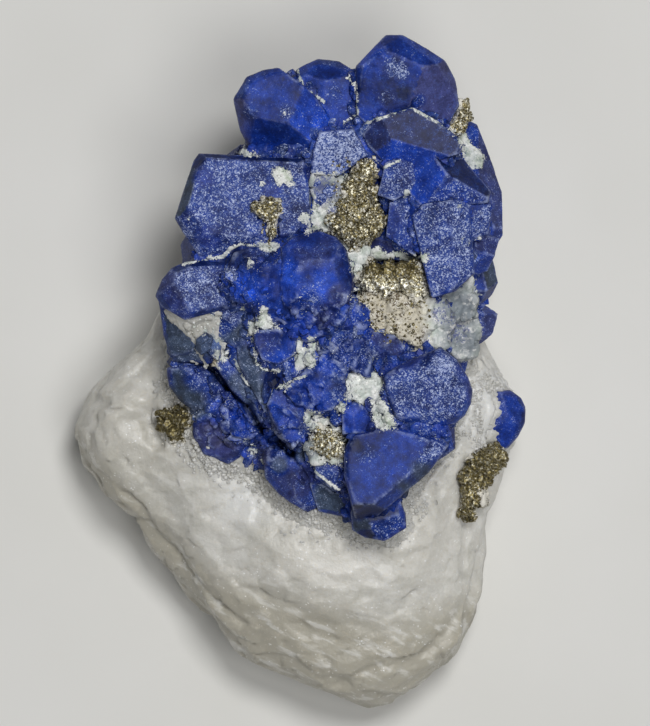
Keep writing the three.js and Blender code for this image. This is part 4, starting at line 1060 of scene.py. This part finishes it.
def marbleFinish():
    finish = Finish("white_marble")
    # low holds painted shade and light: above 0 the marble is painted greyer where it turns from the light,
    # below 0 whiter where the light falls
    low = finish.mask("low")  # greyer above 0, whiter below
    cloud = finish.noise(8 * mm, detail=3, roughness=0.55)
    patches = finish.noise(2.2 * mm, detail=4, roughness=0.6)
    streaks = finish.noise(2.4 * mm, detail=4, roughness=0.6, turn=(0, 0, math.radians(25)),
                           stretch=(0.4, 1.5, 1))
    veins = finish.noise(4.5 * mm, detail=5, roughness=0.62)
    grain = finish.noise(0.45 * mm, detail=3, roughness=0.65)
    flake = finish.mask("flake")
    spark = finish.chance(0.2 * mm)
    tone = (cloud * 0.5 + patches * 0.45 + flake * 0.03 + (grain - 0.5) * 0.3).ramp(0.3, 0.62)
    face = finish.mix(tone, marble["grey"], marble["white"])
    # Painted shade in the lower grey-beige and its grey streaks, painted light in the chalk white
    face = finish.mix(low.clamped() * 0.9, face, marble["lower"])
    face = finish.mix((0 - low).clamped(), face, marble["chalk"])
    face = finish.mix(streaks.ramp(0.52, 0.68) * low.clamped() * 0.7, face, marble["grey"])
    face = finish.mix((streaks + flake * 0.05).ramp(0.56, 0.66) * 0.5, face, marble["white"])
    crack = 1 - veins.math("ABSOLUTE", veins - 0.5).ramp(0, 0.012)
    face = finish.mix(crack * 0.3, face, marble["warm"])
    glint = spark.ramp(0.965, 0.98) * patches.ramp(0.45, 0.6)
    face = finish.mix(glint * 0.7, face, marble["glint"])
    return finish.surface(
        Base_Color=face,
        Roughness=(0.2 + 0.34 * grain).clamped(),
        Normal=finish.bump(patches * 0.6 + grain * 0.45 + streaks * 0.5, depth=0.24 * mm, strength=0.65),
        Subsurface_Weight=0.45,
        Subsurface_Radius=(1.0, 0.93, 0.8),
        Subsurface_Scale=1.6 * mm,
        IOR=1.5)


def calciteFinish():
    finish = Finish("calcite")
    patches = finish.noise(1.7 * mm, detail=4, roughness=0.6)
    grain = finish.noise(0.42 * mm, detail=3, roughness=0.7)
    cells = finish.chance(0.36 * mm)
    spark = finish.chance(0.2 * mm)
    beige, blue = finish.mask("beige"), finish.mask("blue")
    face = finish.mix(patches.ramp(0.4, 0.65), calcite["green"], marble["chalk"])
    face = finish.mix(beige.clamped(), face, calcite["beige"])
    face = finish.mix((0 - beige).clamped(), face, calcite["clear"])
    face = finish.mix((patches + cells * 0.4 - 0.2).ramp(0.55, 0.75) * 0.6, face, marble["white"])
    face = finish.scaled(face, 0.66 + 0.2 * cells + 0.5 * grain)
    rust = (beige * 0.24 + spark * 0.45 + (1 - grain) * 0.5 + (patches - 0.5) * 1.0).ramp(0.8, 0.92)
    face = finish.mix(rust * beige.clamped(), face, calcite["brown"])
    stain = (blue + (patches - 0.5) * 1.4 + (spark - 0.5) * 0.5).ramp(0.55, 0.75)
    face = finish.mix(stain * 0.85, face, calcite["stain"])
    return finish.surface(
        Base_Color=face,
        Roughness=(0.45 + 0.25 * grain).clamped(),
        Normal=finish.bump(grain + cells * 0.6, depth=0.1 * mm, strength=0.8),
        IOR=1.5)


def prismOver(outline, low, high):  # a cutter: that outline in mm, standing from low to high
    bpy.ops.object.select_all(action="DESELECT")
    bpy.ops.mesh.primitive_circle_add(vertices=len(outline), radius=mm, fill_type="NGON",
                                      location=(0, 0, 0))
    prism = bpy.context.object
    for vertex, (x, y) in zip(prism.data.vertices, outline):
        vertex.co = (x * mm, y * mm, low)
    editAll(prism)
    bpy.ops.mesh.extrude_region_move(TRANSFORM_OT_translate={"value": (0, 0, high - low)})
    bpy.ops.mesh.select_all(action="SELECT")
    bpy.ops.mesh.normals_make_consistent(inside=False)
    bpy.ops.object.mode_set(mode="OBJECT")
    return prism


def cutByPlan(piece, operation, low):  # cuts a copy of the marble along the plan of the infill
    cutter = prismOver(infillPlan, low, calcite["top"])
    applyModifier(piece, "BOOLEAN", operation=operation, object=cutter, solver="EXACT")
    bpy.data.objects.remove(cutter)


def calciteInfill(finish):
    infill = copyOfNode("marble_matrix", "calcite_infill")
    cutByPlan(infill, "INTERSECT", calcite["bed"])
    solid = duplicateOf(infill, "calcite_solid")
    remeshRound(infill, calcite["cell"])
    smoothed(infill, 2)
    beige = zone(infill, calcite["beigeSpots"]) - zone(infill, calcite["clearSpots"])
    setMask(infill, "beige", np.clip(beige, -0.9, 1))
    blue = np.maximum(zone(infill, calcite["blueSpots"]) * 0.6, zone(infill, calcite["bluestSpots"]) * 0.8)
    setMask(infill, "blue", blue)
    displace(infill, "CLOUDS", size=2.2 * mm, height=0.9 * mm, noise_depth=2)
    facetted(infill, np.random.default_rng(3), spacing=0.9 * mm, tilt=0.4, reach=0.4 * mm)
    displace(infill, "CLOUDS", size=0.4 * mm, height=0.2 * mm)
    finishPiece(infill, finish)
    return solid


# Cracks and broken ledges of the marble: points in mm, depth and width in mm
cracks = [
    ([(-28, -4), (-24, -4.5), (-21, -5.5), (-19.3, -7.5), (-19.5, -9.5)], 0.9, 0.75),
    ([(-27.5, -14), (-22, -18.5), (-20, -22), (-16, -27), (-13, -30.5), (-8, -34)], 0.65, 0.7),
    ([(-12, -19), (-6, -23.5), (-2, -27)], 0.2, 0.5),
    ([(-9, -28), (-3, -33), (3, -36), (9, -37)], 0.25, 0.6),
    ([(5, -42.5), (10, -40), (15, -39.5), (19, -36), (22, -31)], 0.65, 0.7),
    ([(22.5, -30), (21.8, -25), (22.4, -20)], 0.4, 0.5),
    ([(14.5, -18), (16, -21), (19, -23)], 0.25, 0.5),
    ([(24.2, -25), (23, -31), (21.8, -37), (20.6, -42)], 0.6, 0.45),
    ([(-24, -12), (-21, -15), (-18, -19)], 0.3, 0.4),
]

# The line below which the marble turns away from the light and is painted greyer, as painted shade
turnLine = [(-30, -8), (-20, -19), (-12, -27), (0, -32), (12, -34), (25, -30)]


def marbleRelief(piece):  # flat cleavage steps, and the cracks
    places, normals = points(piece), pointNormals(piece)
    flat = places[:, :2] / mm
    # Painted shade and light: greyer below the turn line and in the grey and dull spots, whiter in the pale
    # spots
    below = np.interp(flat[:, 0], [x for x, y in turnLine], [y for x, y in turnLine]) - flat[:, 1]
    grey = np.maximum(np.clip(below / 5 + 0.5, 0, 1), zone(piece, marble["greyShadeSpots"]) * 0.35)
    pale = zone(piece, marble["paleSpots"]) * 0.45
    dull = zone(piece, marble["dullShadeSpots"]) * 0.3
    setMask(piece, "low", grey + dull - pale)
    depth = np.zeros(len(places))
    for index, place in enumerate(places):
        x, y, z = place / mm
        level = noise.fractal(Vector((x / 10 + y / 22, y / 5 - x / 9, z / 5)), 0.9, 2.1, 3) * 1.6
        step = level - math.floor(level)
        depth[index] = -0.3 * step ** 4
    depth *= np.clip(below / 8 + 0.3, 0.1, 1)
    for line, deep, wide in cracks:
        depth -= deep * np.exp(-(distanceToLine(flat, line) / wide) ** 2)
    facing = np.clip(normals[:, 2] * 1.5 + 0.4, 0, 1)
    push(piece, depth * facing * mm)


def marbleBody(finish):
    body = copyOfNode("marble_matrix", "marble_body")
    cutByPlan(body, "DIFFERENCE", calcite["bed"] - 0.1 * mm)
    remeshRound(body, marble["cell"])
    crystals = treeOf(solids("lazurite"))
    setGroup(body, "open", 1 - nearness(body, crystals, reach=1.8 * mm) * 1.6)
    smoothed(body, 8, group="open")
    push(body, np.clip(nearness(body, crystals, reach=1.6 * mm) * 1.5, 0, 1) * 0.45 * mm)
    marbleRelief(body)
    displace(body, "CLOUDS", size=12 * mm, height=0.9 * mm, noise_depth=2, middle=0.55)
    displace(body, "VORONOI", size=5 * mm, height=0.18 * mm)
    dice = np.random.default_rng(13)
    flake = facetted(body, dice, spacing=2.6 * mm, tilt=0.09, reach=0.16 * mm, stretch=(0.5, 1, 1))
    setMask(body, "flake", dice.uniform(-1, 1, len(flake))[flake])
    broken = np.clip(nearness(body, crystals, reach=5 * mm) * 1.6, 0, 1)
    facetted(body, dice, spacing=1.1 * mm, tilt=0.3, reach=0.22 * mm, weight=broken)
    displace(body, "CLOUDS", size=1.6 * mm, height=0.1 * mm, noise_depth=3)
    finishPiece(body, finish, "marble_matrix")
    return body


def seedGrain(jag):  # a little stone, ragged by that share of its radius
    bpy.ops.object.select_all(action="DESELECT")
    bpy.ops.mesh.primitive_ico_sphere_add(subdivisions=1, radius=1)
    seed = bpy.context.object
    editAll(seed)
    bpy.ops.transform.vertex_random(offset=jag, seed=4)
    bpy.ops.object.mode_set(mode="OBJECT")
    return seed


def grainsOn(trees, outlines, dice, perArea, sizes):  # spots for grains spread over outlines, in mm
    spots = []
    for outline in outlines:
        xs, ys = zip(*outline)
        count = int(perArea * (max(xs) - min(xs)) * (max(ys) - min(ys)))
        tries = np.column_stack([dice.uniform(min(xs) - 0.5, max(xs) + 0.5, count),
                                 dice.uniform(min(ys) - 0.5, max(ys) + 0.5, count)])
        for (x, y), depth in zip(tries, inside(tries, outline)):
            place = topOf(trees, x, y)
            if depth > -0.35 and place is not None:
                spots.append((place, dice.uniform(*sizes) * mm * (0.6 if depth < 0 else 1)))
    return spots


def scatteredGrains(name, spots, dice, jag, masks):  # one piece, in which each grain has its own look
    grains = scatter(seedGrain(jag), name, spots, dice)
    for mask, (low, high) in masks.items():
        setMask(grains, mask, perGrain(grains, len(spots), dice, low, high))
    return grains


def calciteGrains(finish, trees):
    dice = np.random.default_rng(5)
    spots = grainsOn(trees, calcitePatches, dice, perArea=4.5, sizes=(0.08, 0.22))
    grains = scatteredGrains("calcite_grains", spots, dice, jag=0.35,
                             masks={"beige": (0, 0.25), "blue": (0, 0.2)})
    finishPiece(grains, finish, flat=True)


# How far the collar reaches over marble and crystals, and how many mm it lies under what it touches
seam = {
    "close": 1.9 * mm,
    "cell": 0.4 * mm,
    "fromMarble": 3 * mm,
    "fromCrystals": 4.5 * mm,
    "touch": 0.35 * mm,
    "under": 0.3,
    "thickness": 0.25 * mm,
    # how much greyer the collar is painted, as painted shade where the marble meets the crystals
    "grey": 0.2,
}


def marbleCollar(finish, body, infill, crystals):  # the marble that fills the seam round the crystals
    collar = closedGaps([duplicateOf(piece, "part") for piece in [body, infill] + crystals],
                        "marble_collar", seam["close"], seam["cell"])
    marbleTree, crystalTree = treeOf([body]), treeOf(crystals + [infill])
    nearMarble = nearness(collar, marbleTree, seam["fromMarble"])
    nearCrystal = nearness(collar, crystalTree, seam["fromCrystals"])
    touching = np.maximum(nearness(collar, marbleTree, seam["touch"]),
                          nearness(collar, crystalTree, seam["touch"]))
    push(collar, -(touching * seam["under"] * mm))
    selectOnly(collar)
    collar.data.vertices.foreach_set("select", (nearMarble <= 0) | (nearCrystal <= 0))
    bpy.ops.object.mode_set(mode="EDIT")
    bpy.ops.mesh.select_mode(type="VERT")
    bpy.ops.mesh.delete(type="VERT")
    bpy.ops.object.mode_set(mode="OBJECT")
    facetted(collar, np.random.default_rng(19), spacing=1.0 * mm, tilt=0.35, reach=0.22 * mm)
    displace(collar, "CLOUDS", size=0.9 * mm, height=0.2 * mm, noise_depth=2)
    applyModifier(collar, "SOLIDIFY", thickness=seam["thickness"], offset=-1)
    # Painted shade: the whole collar a little greyer than the marble
    setMask(collar, "low", np.full(len(collar.data.vertices), seam["grey"]))
    finishPiece(collar, finish)
    return collar


sugar = {
    "count": 1500,
    "sizes": (0.12, 0.4),
    "reach": 4 * mm,
    "clearOf": 1.5 * mm,
    "lowest": 17 * mm,
    "bare": [(-12.3, 4.5, 3.6)],
}


def marbleSugar(finish, grounds, crystals):  # broken grains of marble along the foot of the crystals
    dice = np.random.default_rng(17)
    crystalTree, hidden = treeOf(crystals), treeOf(crystals + grounds)
    near = np.concatenate([nearness(ground, crystalTree, sugar["reach"]) - zone(ground, sugar["bare"])
                           for ground in grounds])
    places = np.concatenate([points(ground) for ground in grounds])
    normals = np.concatenate([pointNormals(ground) for ground in grounds])
    spots = []
    for index in dice.permutation(len(places)):
        place = Vector(places[index])
        if near[index] > dice.uniform(0.1, 1.1) and normals[index][2] > 0 and place.z > sugar["lowest"]:
            covered = hidden.ray_cast(place + up * (0.05 * mm), up)[0]
            onCrystal = crystalTree.ray_cast(place, down, sugar["clearOf"])[0]
            if covered is None and onCrystal is None:
                spots.append((place, dice.uniform(*sugar["sizes"]) * mm * (0.6 + 0.5 * near[index])))
        if len(spots) == sugar["count"]:
            break
    grains = scatteredGrains("marble_sugar", spots, dice, jag=0.3, masks={"flake": (-2, 2)})
    finishPiece(grains, finish, flat=True)


# Where pyrite is sprinkled as single grains: outlines in mm
pyriteSprinkles = [
    [(7, 10.5), (10, 10.5), (17, 9.8), (17.2, 5), (14, 2.6), (9.5, 5)],
    [(-5.2, 20), (-3.8, 20.5), (-2.4, 16.8), (-4, 16.2), (-5.4, 18)],
    [(2.4, -8.2), (5.2, -8.8), (5.4, -11.4), (2.6, -11.6)],
    [(4, 27.8), (8, 28.4), (10.4, 22), (9, 17), (4.2, 18.6)],
    [(-18.6, -9.4), (-16.6, -9.4), (-16.8, -10.8), (-18.4, -10.6)],
]


def pyriteFlecks(finish, trees):
    dice = np.random.default_rng(8)
    spots = grainsOn(trees, pyriteSprinkles, dice, perArea=2.6, sizes=(0.1, 0.28))
    flecks = scatteredGrains("pyrite_flecks", spots, dice, jag=0.5,
                             masks={"crust": (0, 0.6), "light": (0.5, 1.2)})
    finishPiece(flecks, finish, flat=True)


calciteMaterial, marbleMaterial = calciteFinish(), marbleFinish()
solidCalcite = calciteInfill(calciteMaterial)
infill = bpy.data.objects["calcite_infill"]
body = marbleBody(marbleMaterial)
rubblePiece = crystalRubble(lazuriteMaterial, solidCalcite)
bpy.data.objects.remove(solidCalcite)
smallCrystals(lazuriteMaterial, rubblePiece, [treeOf([body, infill, rubblePiece])])
lowCrystals = [bpy.data.objects["crystal_" + name]
               for name in ("cluster", "lower_left", "lower_band", "edge_crystal")]
collar = marbleCollar(marbleMaterial, body, infill, lowCrystals)
marbleSugar(marbleMaterial, [body, collar], lowCrystals + [rubblePiece])

# The last grains lie on whatever is highest by now
bpy.context.view_layer.update()
dressed = [piece for piece in bpy.data.objects if piece.type == "MESH" and piece.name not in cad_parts]
trees = [BVHTree.FromObject(piece, bpy.context.evaluated_depsgraph_get()) for piece in dressed]
calciteGrains(calciteMaterial, trees)
pyriteFlecks(pyriteMaterial, trees)


studio = {
    "floor": colour(222, 221, 216),
    "floorPale": colour(226, 225, 221),
    "floorSize": 3.0,
    "floorDrop": 0.05 * mm,
    "keyPower": 6.1,
    "keyPlace": (0.16, 0.3, 1.1),
    "keySize": 0.3,
    "fillPower": 4.3,
    "fillPlace": (0.25, -0.22, 1.18),
    "fillSize": 0.5,
    "target": (0, 0, 0.02),
    "world": colour(190, 192, 196),
    "worldPower": 0.24,
    "cameraHeight": 1.230,
    "cameraPlace": (0.00307, 0.00107),
    "lens": 446.3,
    "sensor": 36,
    "clipStart": 0.05,
}


def floorPlane():
    bpy.ops.mesh.primitive_plane_add(size=studio["floorSize"], location=(0, 0, -studio["floorDrop"]))
    floor = bpy.context.object
    floor.name = "floor"
    finish = Finish("floor")
    dust = finish.noise(0.03, detail=2, roughness=0.5).ramp(0.3, 0.7)
    floor.data.materials.append(finish.surface(
        Base_Color=finish.mix(dust, studio["floor"], studio["floorPale"]),
        Roughness=0.8))


def softLight(name):
    place = studio[name + "Place"]
    bpy.ops.object.light_add(type="AREA", location=place)
    light = bpy.context.object
    light.name = name
    light.data.shape = "DISK"
    light.data.size = studio[name + "Size"]
    light.data.energy = studio[name + "Power"]
    light.rotation_euler = (Vector(studio["target"]) - Vector(place)).to_track_quat("-Z", "Y").to_euler()


def studioSetup():
    bpy.ops.object.select_all(action="DESELECT")
    floorPlane()
    softLight("key")
    softLight("fill")
    world = bpy.data.worlds.new("studio")
    world.use_nodes = True
    backdrop = world.node_tree.nodes["Background"]
    backdrop.inputs["Color"].default_value = studio["world"]
    backdrop.inputs["Strength"].default_value = studio["worldPower"]
    bpy.context.scene.world = world
    bpy.context.scene.view_settings.view_transform = "Standard"
    x, y = studio["cameraPlace"]
    bpy.ops.object.camera_add(location=(x, y, studio["cameraHeight"]), rotation=(0, 0, 0))
    camera = bpy.context.object
    camera.data.lens = studio["lens"]
    camera.data.sensor_width = studio["sensor"]
    camera.data.clip_start = studio["clipStart"]
    bpy.context.scene.camera = camera
    print("floor, lights and camera")


studioSetup()
